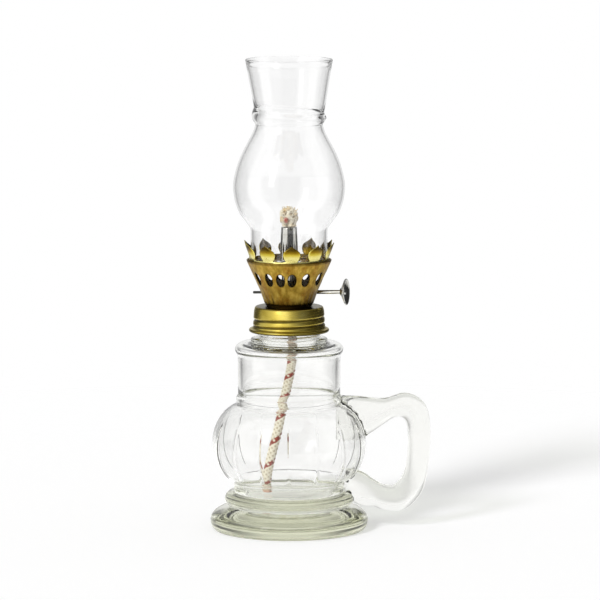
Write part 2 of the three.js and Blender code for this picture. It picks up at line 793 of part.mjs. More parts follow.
function chimney() {
  const fitterTop = chimneyBottom + fitterHeight;
  const bulgeMiddle = fitterTop + bulgeLowerHeight;
  const throat = bulgeMiddle + bulgeUpperHeight;
  const mouth = throat + throatBeadHeight + flareHeight;
  const places = [
    ...bulgeLowerShares.map(([up, out]) => point(
      THREE.MathUtils.lerp(fitterRadius, bulgeRadius, out),
      fitterTop + up * bulgeLowerHeight,
    )),
    ...bulgeUpperShares.slice(1).map(([up, out]) => point(
      THREE.MathUtils.lerp(throatRadius, bulgeRadius, out),
      bulgeMiddle + up * bulgeUpperHeight,
    )),
  ];
  const bulge = new THREE.SplineCurve(places).getPoints(bulgeSteps);
  const beadCentre = point(throatRadius, throat + throatBeadHeight / 2);
  const bead = arc(beadCentre, throatBeadBulge, throatBeadHeight / 3, -75, 75, 3);
  const flareFoot = point(throatRadius + throatBeadBulge / 3, throat + throatBeadHeight);
  const lip = point(mouthRadius - chimneyWall / 2, mouth - mouthLip);
  const lipArc = arc(lip, chimneyWall / 2 + mouthLip, mouthLip + chimneyWall / 2, 0, 180, 4);
  const inside = offset([point(fitterRadius, chimneyBottom), ...bulge], chimneyWall);
  return turned(closed([
    point(fitterRadius, chimneyBottom),
    ...bulge,
    ...bead,
    flareFoot,
    ...lipArc,
    point(flareFoot.x - chimneyWall, flareFoot.y),
    ...inside.reverse().slice(0, -1),
    point(fitterRadius - chimneyWall, chimneyBottom),
  ]), chimneySides);
}

function material(color, roughness, metalness) {
  return new THREE.MeshStandardMaterial({ color, roughness, metalness });
}

const glass = material(0xe9efe8, 0.05, 0);
const seal = material(0x8a6a45, 0.9, 0);
const rolledBrass = material(0xb5a13c, 0.3, 1);
const agedBrass = material(0xa07a2c, 0.45, 1);
const brightBrass = material(0xc9b24a, 0.25, 1);
const steel = material(0x9a9c98, 0.3, 1);
const cotton = material(0xe8dcc4, 0.95, 0);

function mesh(name, geometry, finish) {
  const made = new THREE.Mesh(geometry, finish);
  made.name = name;
  return made;
}

const lamp = new THREE.Group();
const winder = new THREE.Group();
winder.position.copy(winderPlace);
winder.rotation.copy(winderTurn);

lamp.add(
  mesh('font', font(), glass),
  mesh('handle', handle(), glass),
  mesh('collar_seal', collarSeal(), seal),
  mesh('screw_collar', screwCollar(), rolledBrass),
  mesh('neck_ferrule', ferrule(), agedBrass),
  mesh('burner_cone', burnerCone(), agedBrass),
  mesh('air_plate', airPlate(), agedBrass),
  mesh('petal_crown', petalCrown(), brightBrass),
  mesh('wick_tube', wickTube(), steel),
  mesh('wheel_box', wheelBox(), steel),
  mesh('wick', wick(), cotton),
  mesh('wick_tail', wickTail(), cotton),
  mesh('chimney', chimney(), glass),
);
winder.add(
  mesh('winder_shaft', winderShaft(), steel),
  mesh('spur_wheel', spurWheel(), steel),
  mesh('winder_knob', winderKnob(), steel),
);
lamp.add(winder);

export default lamp;
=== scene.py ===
# %% [markdown]
# A small hurricane lamp is a glass font for the oil, a brass burner that screws onto its neck,
# and a chimney that shelters the flame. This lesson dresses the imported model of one. Every
# length is in metres in Blender, so sizes that a maker would give in millimetres are
# multiplied by MM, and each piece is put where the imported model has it.

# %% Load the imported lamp
import json
import math
import random

import bmesh
import bpy
from mathutils import Matrix, Vector, noise
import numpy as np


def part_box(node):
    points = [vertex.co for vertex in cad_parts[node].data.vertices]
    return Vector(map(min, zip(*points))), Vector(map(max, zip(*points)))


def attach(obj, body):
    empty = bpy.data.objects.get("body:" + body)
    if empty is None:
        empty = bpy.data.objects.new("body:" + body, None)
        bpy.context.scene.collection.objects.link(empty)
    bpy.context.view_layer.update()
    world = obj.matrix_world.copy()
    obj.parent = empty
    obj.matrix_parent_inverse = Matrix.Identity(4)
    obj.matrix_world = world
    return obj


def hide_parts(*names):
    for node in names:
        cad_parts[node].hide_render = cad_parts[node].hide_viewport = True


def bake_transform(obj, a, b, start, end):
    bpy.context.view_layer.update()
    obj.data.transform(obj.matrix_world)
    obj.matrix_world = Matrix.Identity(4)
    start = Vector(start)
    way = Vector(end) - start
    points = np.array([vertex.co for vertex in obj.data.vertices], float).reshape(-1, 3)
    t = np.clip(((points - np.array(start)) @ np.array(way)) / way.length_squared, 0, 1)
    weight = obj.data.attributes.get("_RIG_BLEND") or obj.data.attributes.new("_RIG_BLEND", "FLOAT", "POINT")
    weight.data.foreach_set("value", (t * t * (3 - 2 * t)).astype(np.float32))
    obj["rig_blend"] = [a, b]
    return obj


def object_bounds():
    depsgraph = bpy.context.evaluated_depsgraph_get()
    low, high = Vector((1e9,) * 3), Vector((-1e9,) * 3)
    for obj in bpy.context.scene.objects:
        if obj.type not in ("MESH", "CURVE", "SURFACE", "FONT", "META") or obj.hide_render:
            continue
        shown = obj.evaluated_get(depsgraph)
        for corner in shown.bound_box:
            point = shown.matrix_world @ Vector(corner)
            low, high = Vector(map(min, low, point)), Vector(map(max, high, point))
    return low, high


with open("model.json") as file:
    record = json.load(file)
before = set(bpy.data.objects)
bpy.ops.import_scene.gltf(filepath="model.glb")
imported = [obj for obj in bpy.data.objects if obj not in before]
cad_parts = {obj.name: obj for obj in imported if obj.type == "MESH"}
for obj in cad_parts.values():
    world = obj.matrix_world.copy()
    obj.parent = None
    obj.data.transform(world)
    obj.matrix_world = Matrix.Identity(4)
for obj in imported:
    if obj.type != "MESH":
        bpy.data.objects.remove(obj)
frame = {"nodes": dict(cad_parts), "record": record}
CAD_LOW, CAD_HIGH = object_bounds()
MM = 0.001
TURN = 2 * math.pi
print("packed lamp:", [round(side / MM, 1) for side in CAD_HIGH - CAD_LOW], "mm")


def box(node):
    """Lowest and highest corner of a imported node, in millimetres."""
    low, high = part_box(node)
    return low / MM, high / MM


# %% [markdown]
# The photograph is taken with a long lens from a little above the lamp. A camera two metres
# away keeps the sides of the chimney nearly parallel, as they are there. The lens follows
# from the number of pixels that a metre takes up at the lamp's axis.

# %% Camera
CAMERA_PLACE = Vector((0.0051, -2.0, 0.362))
CAMERA_TARGET = Vector((0.0051, 0.0, 0.1078))
PICTURE_PIXELS = 600
PIXELS_PER_METRE = 2144

lens_data = bpy.data.cameras.new("camera")
camera = bpy.data.objects.new("camera", lens_data)
bpy.context.scene.collection.objects.link(camera)
look = CAMERA_TARGET - CAMERA_PLACE
camera.location = CAMERA_PLACE
camera.rotation_euler = look.to_track_quat("-Z", "Y").to_euler()
lens_data.lens = lens_data.sensor_width * PIXELS_PER_METRE * look.length / PICTURE_PIXELS
bpy.context.scene.camera = camera
bpy.context.scene.view_settings.view_transform = "Standard"
print("lens", round(lens_data.lens, 1), "mm")


# %% [markdown]
# Most finishes below are a few nodes round one Principled shader. One small function adds a
# node with its settings and links, and another turns the hex code of a colour, which is how
# a paint card or a screen gives it, into the linear numbers that a shader works with. A
# third mixes a darker colour in where the mesh marks it, because dirt and painted shade both
# follow the shape of a piece.

# %% Helpers for finishes
def colour(code):
    """A colour such as 'b08d57', turned from sRGB to linear."""
    shares = [int(code[place:place + 2], 16) / 255 for place in (0, 2, 4)]
    linear = [s / 12.92 if s <= 0.04045 else ((s + 0.055) / 1.055) ** 2.4 for s in shares]
    return (*linear, 1.0)


def add(tree, kind, sockets=None, stops=None, **properties):
    """Adds a node: each socket gets a value or a link, and a ramp its (place, colour) stops."""
    node = tree.nodes.new(kind)
    for name, value in properties.items():
        setattr(node, name, value)
    for socket, value in (sockets or {}).items():
        if isinstance(value, bpy.types.NodeSocket):
            tree.links.new(value, node.inputs[socket])
        else:
            node.inputs[socket].default_value = value
    if stops:
        for _ in stops[2:]:
            node.color_ramp.elements.new(0.5)
        for element, (position, tint) in zip(node.color_ramp.elements, stops):
            element.position = position
            element.color = tint
    return node


def blank_finish(name):
    """A new material with an output and nothing else."""
    finish = bpy.data.materials.new(name)
    finish.use_nodes = True
    finish.node_tree.nodes.clear()
    return finish, finish.node_tree, add(finish.node_tree, "ShaderNodeOutputMaterial")


def per_mm(size):
    """The texture scale whose pattern repeats about once in a real size in millimetres."""
    return 1 / (size * MM)


def mixed_dirt_and_shade(tree, shade, dark_code):
    """Mixes in a darker colour where the groove attribute marks it: dirt, and painted shade."""
    dirt = add(tree, "ShaderNodeAttribute", attribute_name="groove")
    return add(tree, "ShaderNodeMix", {
        0: dirt.outputs["Fac"], 6: shade, 7: colour(dark_code)}, data_type="RGBA").outputs[2]


# %% [markdown]
# A piece of the lamp is a mesh that starts from an operator: a grid that is laid out by a
# rule, or an outline that is spun about the upright axis. Angles round the lamp start at the
# front, which is toward the camera, and grow toward the handle.

# %% Helpers for shapes
MERGE, SHEET_MERGE = 0.002 * MM, 0.02 * MM


def arc(centre, half_width, half_height, start, stop, steps):
    """Points of an ellipse's arc from one angle to the other, in degrees, in millimetres."""
    points = []
    for step in range(steps + 1):
        angle = math.radians(start + (stop - start) * step / steps)
        points.append((centre[0] + half_width * math.cos(angle),
                       centre[1] + half_height * math.sin(angle)))
    return points


def through(points, steps):
    """A smooth line with that many equal steps of parameter through points of any size."""
    last = len(points) - 1
    line = []
    for step in range(steps + 1):
        share = step / steps * last
        start = min(int(share), last - 1)
        t = share - start
        four = [points[max(0, min(last, start + shift))] for shift in (-1, 0, 1, 2)]
        line.append(tuple(
            0.5 * (2 * b + (c - a) * t + (2 * a - 5 * b + 4 * c - d) * t ** 2
                   + (3 * b - a - 3 * c + d) * t ** 3)
            for a, b, c, d in zip(*four)))
    return line


def inset(points, distance):
    """The same outline moved sideways by a distance, to the left of its direction."""
    moved = []
    for n, (x, y) in enumerate(points):
        before = points[max(n - 1, 0)]
        after = points[min(n + 1, len(points) - 1)]
        along = Vector((after[0] - before[0], after[1] - before[1])).normalized()
        moved.append((x - along.y * distance, y + along.x * distance))
    return moved


def polar(radius, degrees, height):
    """A place in millimetres from its radius, its angle round the lamp and its height."""
    angle = math.radians(degrees)
    return Vector((radius * math.sin(angle), -radius * math.cos(angle), height))


def smooth(low, high, value):
    """0 below low, 1 above high, and an even bend between."""
    t = max(0.0, min(1.0, (value - low) / (high - low)))
    return t * t * (3 - 2 * t)


def turned_out(mesh):
    """Makes the faces of a closed mesh point outward."""
    bmesh.ops.remove_doubles(mesh, verts=mesh.verts, dist=MERGE)
    bmesh.ops.recalc_face_normals(mesh, faces=mesh.faces)
    if mesh.calc_volume(signed=True) < 0:
        bmesh.ops.reverse_faces(mesh, faces=mesh.faces)
    return mesh


def spun(outline, steps, ring=True):
    """An outline of (radius, height) points spun about the upright axis into a closed mesh."""
    mesh = bmesh.new()
    corners = [mesh.verts.new((radius * MM, 0, height * MM)) for radius, height in outline]
    edges = [mesh.edges.new(pair) for pair in zip(corners, corners[1:])]
    if ring:
        edges.append(mesh.edges.new((corners[-1], corners[0])))
    bmesh.ops.spin(mesh, geom=corners + edges, cent=(0, 0, 0), axis=(0, 0, 1), dvec=(0, 0, 0),
                   angle=TURN, steps=steps, use_merge=True, use_duplicate=False)
    return turned_out(mesh)


def reshaped(mesh, rule):
    """Moves each corner; rule gets and gives its radius, degrees and height in millimetres."""
    for corner in mesh.verts:
        x, y, z = corner.co / MM
        corner.co = polar(*rule(math.hypot(x, y), math.degrees(math.atan2(x, -y)), z)) * MM
    return mesh


def grid(mesh, across, along, place, mark=None):
    """Adds a sheet of quads; place(u, v) gives each corner in millimetres, mark(u, v) its dirt, tint and
    painted shade.
    """
    made = bmesh.ops.create_grid(mesh, x_segments=across, y_segments=along, size=1, calc_uvs=True)
    # this layer holds dirt, heat tint and painted shade
    dirt = mesh.verts.layers.float["groove"]
    for corner in made["verts"]:
        u, v = (corner.co.x + 1) / 2, (corner.co.y + 1) / 2
        corner.co = Vector(place(u, v)) * MM
        corner[dirt] = mark(u, v) if mark else 0.0


def sheet_mesh():
    """An empty bmesh for grids, with a UV map and the groove attribute, which marks dirt, heat tint and
    painted shade.
    """
    mesh = bmesh.new()
    mesh.loops.layers.uv.new("UVMap")
    mesh.verts.layers.float.new("groove")
    return mesh


def closed_ends(mesh):
    """Fills the open ends of tubes, then turns the faces outward."""
    bmesh.ops.remove_doubles(mesh, verts=mesh.verts, dist=MERGE)
    rims = [edge for edge in mesh.edges if edge.is_boundary]
    bmesh.ops.holes_fill(mesh, edges=rims, sides=0)
    return turned_out(mesh)


def made_object(name, mesh, finish, sharp=None):
    """Turns a bmesh into a smooth-shaded object; sharp is the angle of edges kept crisp."""
    data = bpy.data.meshes.new(name)
    mesh.to_mesh(data)
    mesh.free()
    data.materials.append(finish)
    for face in data.polygons:
        face.use_smooth = True
    if sharp:
        data.set_sharp_from_angle(angle=math.radians(sharp))
    made = bpy.data.objects.new(name, data)
    bpy.context.scene.collection.objects.link(made)
    return made


def fitted(made, body, slot, *nodes):
    """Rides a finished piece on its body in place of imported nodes, and prints its size."""
    if body:
        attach(made, body)
    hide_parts(*nodes)
    made.data.calc_loop_triangles()
    size = [round(side / MM, 1) for side in made.dimensions]
    print(made.name, size, "mm,", len(made.data.loop_triangles), "triangles")
    return made


# %% [markdown]
# The wick is one braided cotton cord. Its free tail hangs from the wick tube into the font,
# sinks to the left under its own weight and ends just clear of the floor of the font. Cotton
# that is braided over a core shows two sets of strands that cross, and one red-brown tracer
# strand winds round it. The braid is real relief in the mesh, because its outline shows
# against the white behind the glass, and the tracer is colour that follows the cord's UV map.

# %% Cotton finish
YARN_MM, FRAY_MM = 0.22, 1.8
BRAID_PITCH_MM = 8.8
STRANDS = 5
WICK_RADIUS = 2.15
DYED_TIP_LOW_MM, DYED_TIP_HIGH_MM = 16.0, 19.5
FUZZ_MM = 0.08


def cotton_skin(tree, output, shade, fibre):
    """Ends a cotton finish: its colour, its matt fuzz and the relief of its fibres."""
    bump = add(tree, "ShaderNodeBump", {"Height": fibre, "Strength": 0.6, "Distance": FUZZ_MM * MM})
    shader = add(tree, "ShaderNodeBsdfPrincipled", {
        "Base Color": shade, "Normal": bump.outputs["Normal"], "Roughness": 0.92,
        "Sheen Weight": 0.25, "Sheen Roughness": 0.5})
    tree.links.new(shader.outputs["BSDF"], output.inputs["Surface"])


def braided_cotton(name, turns_along, tracer_turn):
    """Undyed braided cotton with a tracer strand; v on its UV map is along the cord."""
    finish, tree, output = blank_finish(name)
    place = add(tree, "ShaderNodeTexCoord").outputs["Object"]
    uv = add(tree, "ShaderNodeSeparateXYZ", {"Vector": add(tree, "ShaderNodeTexCoord").outputs["UV"]})
    way = add(tree, "ShaderNodeMath", {0: uv.outputs["Y"], 1: turns_along}, operation="MULTIPLY")
    families = []
    for turning in ("ADD", "SUBTRACT"):
        turns = add(tree, "ShaderNodeMath", {0: uv.outputs["X"], 1: way.outputs[0]}, operation=turning)
        angle = add(tree, "ShaderNodeMath", {
            0: turns.outputs[0], 1: math.pi * STRANDS}, operation="MULTIPLY")
        wave = add(tree, "ShaderNodeMath", {0: angle.outputs[0]}, operation="COSINE")
        families.append((turns.outputs[0], wave.outputs[0]))
    parity = add(tree, "ShaderNodeMath", {0: families[0][1], 1: families[1][1]}, operation="MULTIPLY")
    on_top = add(tree, "ShaderNodeMapRange", {
        "Value": parity.outputs[0], "From Min": -0.9, "From Max": -0.2})
    fray = add(tree, "ShaderNodeTexNoise", {"Vector": place, "Scale": per_mm(FRAY_MM), "Detail": 3.0})
    loose = add(tree, "ShaderNodeMath", {
        0: fray.outputs["Fac"], 1: 0.08, 2: tracer_turn}, operation="MULTIPLY_ADD")
    turned = add(tree, "ShaderNodeMath", {0: families[0][0], 1: loose.outputs[0]}, operation="ADD")
    off = add(tree, "ShaderNodeMath", {0: turned.outputs[0], 1: 0.5}, operation="PINGPONG")
    line = add(tree, "ShaderNodeMapRange", {"Value": off.outputs[0], "From Min": 0.13, "From Max": 0.1})
    red = add(tree, "ShaderNodeMath", {
        0: line.outputs["Result"], 1: on_top.outputs["Result"]}, operation="MULTIPLY")
    fibre = add(tree, "ShaderNodeTexNoise", {"Vector": place, "Scale": per_mm(YARN_MM), "Detail": 4.0})
    cream = add(tree, "ShaderNodeValToRGB", {"Fac": fibre.outputs["Fac"]}, stops=[
        (0.3, colour("d3c5a8")), (0.5, colour("f0e8d6")), (0.72, colour("fdf9ef"))])
    dyed = add(tree, "ShaderNodeValToRGB", {"Fac": fibre.outputs["Fac"]}, stops=[
        (0.3, colour("561409")), (0.5, colour("94301c")), (0.75, colour("c0664a"))])
    # painted shade: the valleys between the braid's strands, marked on the mesh, are mixed darker
    shaded = mixed_dirt_and_shade(tree, cream.outputs["Color"], "9a8560")
    marked_red = add(tree, "ShaderNodeMix", {
        0: red.outputs[0], 6: shaded, 7: dyed.outputs["Color"]}, data_type="RGBA")
    height = add(tree, "ShaderNodeSeparateXYZ", {"Vector": place})
    tip = add(tree, "ShaderNodeMapRange", {
        "Value": height.outputs["Z"], "From Min": DYED_TIP_HIGH_MM * MM, "From Max": DYED_TIP_LOW_MM * MM,
        "To Max": 0.55})
    shade = add(tree, "ShaderNodeMix", {
        0: tip.outputs["Result"], 6: marked_red.outputs[2], 7: colour("e08a72")}, data_type="RGBA")
    cotton_skin(tree, output, shade.outputs[2], fibre.outputs["Fac"])
    return finish


print("cotton strands", STRANDS, "each way, one turn in", BRAID_PITCH_MM, "mm")


# %% Wick tail, a cord
TAIL_ROUTE = [
    (0, 0, 100), (0.3, 0, 97.5), (0.9, 0, 94.5), (1.5, -0.2, 91.5), (1.8, -0.4, 88),
    (1.6, -0.6, 84), (1.1, -0.8, 80), (0.6, -0.9, 75), (-0.3, -0.9, 70), (-1.4, -0.8, 65),
    (-2.5, -0.6, 60), (-3.5, -0.4, 55), (-4.6, -0.2, 49), (-6, 0, 43), (-7.6, 0.2, 37),
    (-9, 0.3, 31.5), (-10, 0.3, 26.5), (-10.6, 0.2, 21.5), (-10.5, 0, 17.5), (-10.1, -0.1, 14.6),
]
TAIL_RINGS, TAIL_SIDES = 400, 48
STRAND_RELIEF, STRAND_MIDDLE = 0.26, 0.6
TRACER_TURN = 0.33


def strand_height(turns, way):
    """1 on a strand that lies on top of the braid, 0 in the valleys between strands."""
    rising = math.cos(TURN * STRANDS * (turns + way))
    falling = math.cos(TURN * STRANDS * (turns - way))
    parity = math.cos(math.pi * STRANDS * (turns + way)) * math.cos(math.pi * STRANDS * (turns - way))
    return 0.5 + (rising * (1 + parity) + falling * (1 - parity)) / 4


def tail_place(centres, length):
    """The rule that lays a grid round the tail's centre line, narrower at its cut end."""
    def place(u, v):
        ring = round(v * TAIL_RINGS)
        before = Vector(centres[max(ring - 1, 0)])
        after = Vector(centres[min(ring + 1, TAIL_RINGS)])
        along = (after - before).normalized()
        side = along.cross(Vector((0, 1, 0))).normalized()
        front = side.cross(along)
        relief = strand_height(u, v * length / BRAID_PITCH_MM) - STRAND_MIDDLE
        radius = WICK_RADIUS + STRAND_RELIEF * relief
        radius *= 0.7 + 0.3 * smooth(1.0, 0.985, v)
        angle = TURN * u
        return Vector(centres[ring]) + radius * (math.cos(angle) * side + math.sin(angle) * front)
    return place


centres = through(TAIL_ROUTE, TAIL_RINGS)
tail_length = sum((Vector(a) - Vector(b)).length for a, b in zip(centres, centres[1:]))
tail_turns = tail_length / BRAID_PITCH_MM
tail_mesh = sheet_mesh()
# The mark paints shade into the valleys between the strands.
grid(tail_mesh, TAIL_SIDES, TAIL_RINGS, tail_place(centres, tail_length),
     mark=lambda u, v: 0.7 * smooth(0.5, 0.05, strand_height(u, v * tail_turns)))
cotton = braided_cotton("braided_cotton", tail_turns, TRACER_TURN)
tail = made_object("wick_tail_cord", closed_ends(tail_mesh), cotton)
fitted(tail, None, "wick_cotton", "wick_tail")
tail_top, tail_end = (tuple(Vector(place) * MM) for place in (TAIL_ROUTE[0], TAIL_ROUTE[-1]))
[tuple(Vector(centre) * MM) for centre in centres]
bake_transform(tail, "burner", "wick", start=tail_end, end=tail_top)
print("wick tail", round(tail_length, 1), "mm long")


# %% [markdown]
# Clear soda glass has an index of refraction near 1.5 and shows its colour only through a
# thickness: the walls look white and the foot looks yellow-green. A volume that absorbs a
# little light for each metre does exactly that. Lamps have to reach the burner and the floor
# through the glass, and a path tracer finds that way poorly, so shadow rays go through a
# tinted transparent shader instead. Its tint is darker where the light meets the glass at a
# slant, because more of it is turned aside there, and so the lamp's shadow has dark edges.

# %% Glass finish
def clear_glass(name, tint, density, wave_mm, wave_depth):
    """Glass whose volume takes its tint; wave is the faint unevenness of its skin."""
    finish, tree, output = blank_finish(name)
    place = add(tree, "ShaderNodeTexCoord").outputs["Object"]
    wave = add(tree, "ShaderNodeTexNoise", {"Vector": place, "Scale": per_mm(wave_mm), "Detail": 1.0})
    bump = add(tree, "ShaderNodeBump", {
        "Height": wave.outputs["Fac"], "Strength": 0.5, "Distance": wave_depth * MM})
    shader = add(tree, "ShaderNodeBsdfPrincipled", {
        "Normal": bump.outputs["Normal"], "Base Color": colour("ffffff"), "Roughness": 0.0,
        "IOR": 1.5, "Transmission Weight": 1.0})
    slope = add(tree, "ShaderNodeLayerWeight", {"Blend": 0.5})
    steep = add(tree, "ShaderNodeMapRange", {
        "Value": slope.outputs["Facing"], "From Min": 0.35, "From Max": 0.95})
    dimmed = add(tree, "ShaderNodeMix", {
        0: steep.outputs["Result"], 6: colour("e6e8e2"), 7: colour("6c6e68")}, data_type="RGBA")
    shadow = add(tree, "ShaderNodeBsdfTransparent", {"Color": dimmed.outputs[2]})
    rays = add(tree, "ShaderNodeLightPath")
    either = add(tree, "ShaderNodeMixShader", {
        0: rays.outputs["Is Shadow Ray"], 1: shader.outputs["BSDF"], 2: shadow.outputs["BSDF"]})
    volume = add(tree, "ShaderNodeVolumeAbsorption", {"Color": colour(tint), "Density": density})
    tree.links.new(either.outputs["Shader"], output.inputs["Surface"])
    tree.links.new(volume.outputs["Volume"], output.inputs["Volume"])
    return finish


pressed_glass = clear_glass("pressed_soda_glass", "aeb252", density=10.5, wave_mm=9.0, wave_depth=0.02)
blown_glass = clear_glass("blown_soda_glass", "c8ccbe", density=7.0, wave_mm=14.0, wave_depth=0.02)
print("glasses:", pressed_glass.name, "and", blown_glass.name)


# %% [markdown]
# The font is pressed in a mould: a wide heavy foot that is a little hollow underneath and so
# stands on its rim, a ring, a band, a bulb with sixteen thin flutes, a bead at the waist, a
# straight upper body with a rolled shoulder, and a neck with a screw thread. It is one
# outline spun about the axis. The columns of the spin are crowded at the flutes, where the
# surface bends most, and then the flutes are pushed in and the thread's ridge is raised.

# %% Font outline
FONT_TOP = box("font")[1].z
FOOT_UNDER, FOOT_RADIUS, FOOT_EDGE, FOOT_CROWN = 34.6, 37.0, 4.4, 6.6
RECESS, RECESS_RADIUS, RECESS_LIP, RIM_EDGE = 1.6, 31.5, 0.1, 0.3
CREASE_WIDTH, CREASE_HEIGHT = 0.5, 0.35
RING_ROOT, RING_BULGE, RING_HEIGHT = 26.6, 3.6, 6.8
BAND_RADIUS, BAND_HEIGHT, BAND_EASE = 26.0, 3.5, 0.8
BULB_CORE, BULB_RADIUS, BULB_LOWER, BULB_UPPER = 21.0, 36.1, 18.5, 19.6
BEAD_BULGE, BEAD_HEIGHT = 0.9, 3.8
BEAD_INNER, BEAD_INNER_LOW, BEAD_INNER_FOOT = 0.45, 0.55, 0.5
BEAD_INNER_HALF, BEAD_INNER_EASE = 0.7, 0.6
TUBE_RADIUS, TUBE_HEIGHT, TUBE_EASE = 23.9, 19.4, 0.4
ROLL_OUT, ROLL_WIDTH, ROLL_HEIGHT, ROLL_SLOPE = 1.4, 3.8, 3.1, 45
FLANGE_RADIUS, FLANGE_HEIGHT = 18.0, 2.4
FLANGE_START, FLANGE_EDGE, FLANGE_SINK = 1.2, 0.3, 0.1
FLANGE_ROUND, FLANGE_ROUND_HEIGHT, FLANGE_LIFT = 0.9, 1.0, 1.3
NECK_RADIUS, NECK_BORE, WALL, FLOOR = 14.6, 12.2, 2.0, 13.0
NECK_FILLET, NECK_FILLET_HEIGHT, NECK_EASE = 0.8, 0.5, 0.9
MOUTH_OUTER, MOUTH_ROUND, MOUTH_DEPTH = 0.8, 0.7, 2.0
INNER_EASE, INNER_START, INNER_STEP = 0.4, 0.5, 1.0
FLOOR_RADIUS, FLOOR_START, CORNER_WIDTH, CORNER_HEIGHT = 18.8, 2.0, 4.8, 4.5

crease = FOOT_EDGE + FOOT_CROWN
ring_top = crease + RING_HEIGHT
band_top = ring_top + BAND_HEIGHT
bulb_middle = band_top + BULB_LOWER
bulb_top = bulb_middle + BULB_UPPER
bead_top = bulb_top + BEAD_HEIGHT
upper_top = bead_top + TUBE_HEIGHT
roll_middle = upper_top + ROLL_HEIGHT * math.sin(math.radians(ROLL_SLOPE))
shoulder_top = roll_middle + ROLL_HEIGHT
flange_top = shoulder_top + FLANGE_HEIGHT
bulb_centre = (BULB_CORE, bulb_middle)
roll_centre = (TUBE_RADIUS + ROLL_OUT - ROLL_WIDTH, roll_middle)
bulb_width = BULB_RADIUS - BULB_CORE
inner_tube = TUBE_RADIUS - WALL
recess_round = 3 * RECESS
bead_middle = bulb_top + BEAD_HEIGHT / 2


def straight(first, last, steps):
    """Even steps along a straight line, with its first point and not its last."""
    return [tuple(a + (b - a) * n / steps for a, b in zip(first, last)) for n in range(steps)]


outside = [
    (0, RECESS),
    *straight((RECESS_RADIUS / 3, RECESS), (RECESS_RADIUS - recess_round, RECESS), 3),
    *arc((RECESS_RADIUS - recess_round, RECESS_LIP), recess_round, RECESS - RECESS_LIP, 90, 0, 8),
    *straight((RECESS_RADIUS + RIM_EDGE, 0), (FOOT_UNDER, 0), 2),
    *arc((FOOT_UNDER, FOOT_EDGE), FOOT_RADIUS - FOOT_UNDER, FOOT_EDGE, -90, 0, 12),
    *arc((RING_ROOT, FOOT_EDGE), FOOT_RADIUS - RING_ROOT, FOOT_CROWN, 5, 84, 20),
    *arc((RING_ROOT + CREASE_WIDTH, crease + CREASE_HEIGHT), CREASE_WIDTH, CREASE_HEIGHT, -100, -180, 3),
    *arc((RING_ROOT, crease + RING_HEIGHT / 2), RING_BULGE, RING_HEIGHT / 2, -74, 74, 16),
    *straight((BAND_RADIUS, ring_top), (BAND_RADIUS, band_top - BAND_EASE), 3),
    *arc(bulb_centre, bulb_width, BULB_LOWER, -70, 0, 26),
    *arc(bulb_centre, bulb_width, BULB_UPPER, 3, 76, 26),
    *arc((TUBE_RADIUS, bead_middle), BEAD_BULGE, BEAD_HEIGHT / 2, -62, 80, 10),
    *straight((TUBE_RADIUS, bead_top), (TUBE_RADIUS, upper_top - TUBE_EASE), 6),
    *arc(roll_centre, ROLL_WIDTH, ROLL_HEIGHT, -46, 88, 18),
    *straight((FLANGE_RADIUS + FLANGE_START, shoulder_top - FLANGE_SINK),
              (FLANGE_RADIUS + FLANGE_EDGE, shoulder_top), 2),
    *arc((FLANGE_RADIUS - FLANGE_ROUND, shoulder_top + FLANGE_LIFT), FLANGE_ROUND, FLANGE_ROUND_HEIGHT,
         -50, 80, 5),
    *arc((NECK_RADIUS + NECK_FILLET, flange_top + NECK_FILLET_HEIGHT), NECK_FILLET, NECK_FILLET_HEIGHT,
         -90, -180, 3),
]
neck = straight((NECK_RADIUS, flange_top + NECK_EASE), (NECK_RADIUS, FONT_TOP - NECK_EASE), 34)
mouth = [
    *arc((NECK_RADIUS - MOUTH_OUTER, FONT_TOP - MOUTH_ROUND), MOUTH_OUTER, MOUTH_ROUND, 0, 90, 4),
    *arc((NECK_BORE + MOUTH_ROUND, FONT_TOP - MOUTH_ROUND), MOUTH_ROUND, MOUTH_ROUND, 90, 180, 4),
]
inside = [
    *straight((NECK_BORE, FONT_TOP - MOUTH_DEPTH), (NECK_BORE, shoulder_top + INNER_EASE), 5),
    *arc((NECK_BORE + WALL, shoulder_top), WALL, WALL, 180, 268, 8),
    *straight((NECK_BORE + WALL + INNER_START, shoulder_top - WALL),
              (roll_centre[0] - INNER_EASE, shoulder_top - WALL), 4),
    *arc(roll_centre, ROLL_WIDTH - WALL, ROLL_HEIGHT - WALL, 90, -50, 12),
    *straight((inner_tube, upper_top - INNER_STEP), (inner_tube, bead_top + BEAD_INNER_EASE), 8),
    *through([(inner_tube, bead_top), (inner_tube + BEAD_INNER, bead_middle + BEAD_INNER_HALF),
              (inner_tube + BEAD_INNER_LOW, bead_middle - BEAD_INNER_HALF),
              (inner_tube + BEAD_INNER_FOOT, bulb_top - BEAD_INNER_EASE)], 10),
    *arc(bulb_centre, bulb_width - WALL, BULB_UPPER - 0.6 * WALL, 74, 0, 24),
    *arc(bulb_centre, bulb_width - WALL, BULB_LOWER - 0.7 * WALL, -4, -72, 18),
    *arc((FLOOR_RADIUS, FLOOR + CORNER_HEIGHT), CORNER_WIDTH, CORNER_HEIGHT, 0, -90, 8),
    *straight((FLOOR_RADIUS - INNER_STEP, FLOOR), (FLOOR_START, FLOOR), 3),
    (0, FLOOR),
]
print("font outline:", len(outside) + len(neck) + len(mouth) + len(inside), "points")

# %% Font mesh
FLUTES = 16
FLUTE_STEPS = 16
FLUTE_DEPTH, FLUTE_HALF, FLUTE_FADE = 0.28, 0.45, 4.0
FLUTE_LOW_SHARE, FLUTE_HIGH_SHARE = 0.03, 0.82
FLUTE_CROWDING = 2.0
THREAD_PITCH, RIDGE_HEIGHT, GROOVE_DROP = 3.1, 0.8, 5.4
WAVE_HEIGHT, WAVE_SCALE = 0.02, 0.12
GROOVE_HEIGHT = box("screw_collar")[1].z - GROOVE_DROP
flute_low = band_top + FLUTE_LOW_SHARE * (bulb_top - band_top)
flute_high = band_top + FLUTE_HIGH_SHARE * (bulb_top - band_top)
sector = 360 / FLUTES


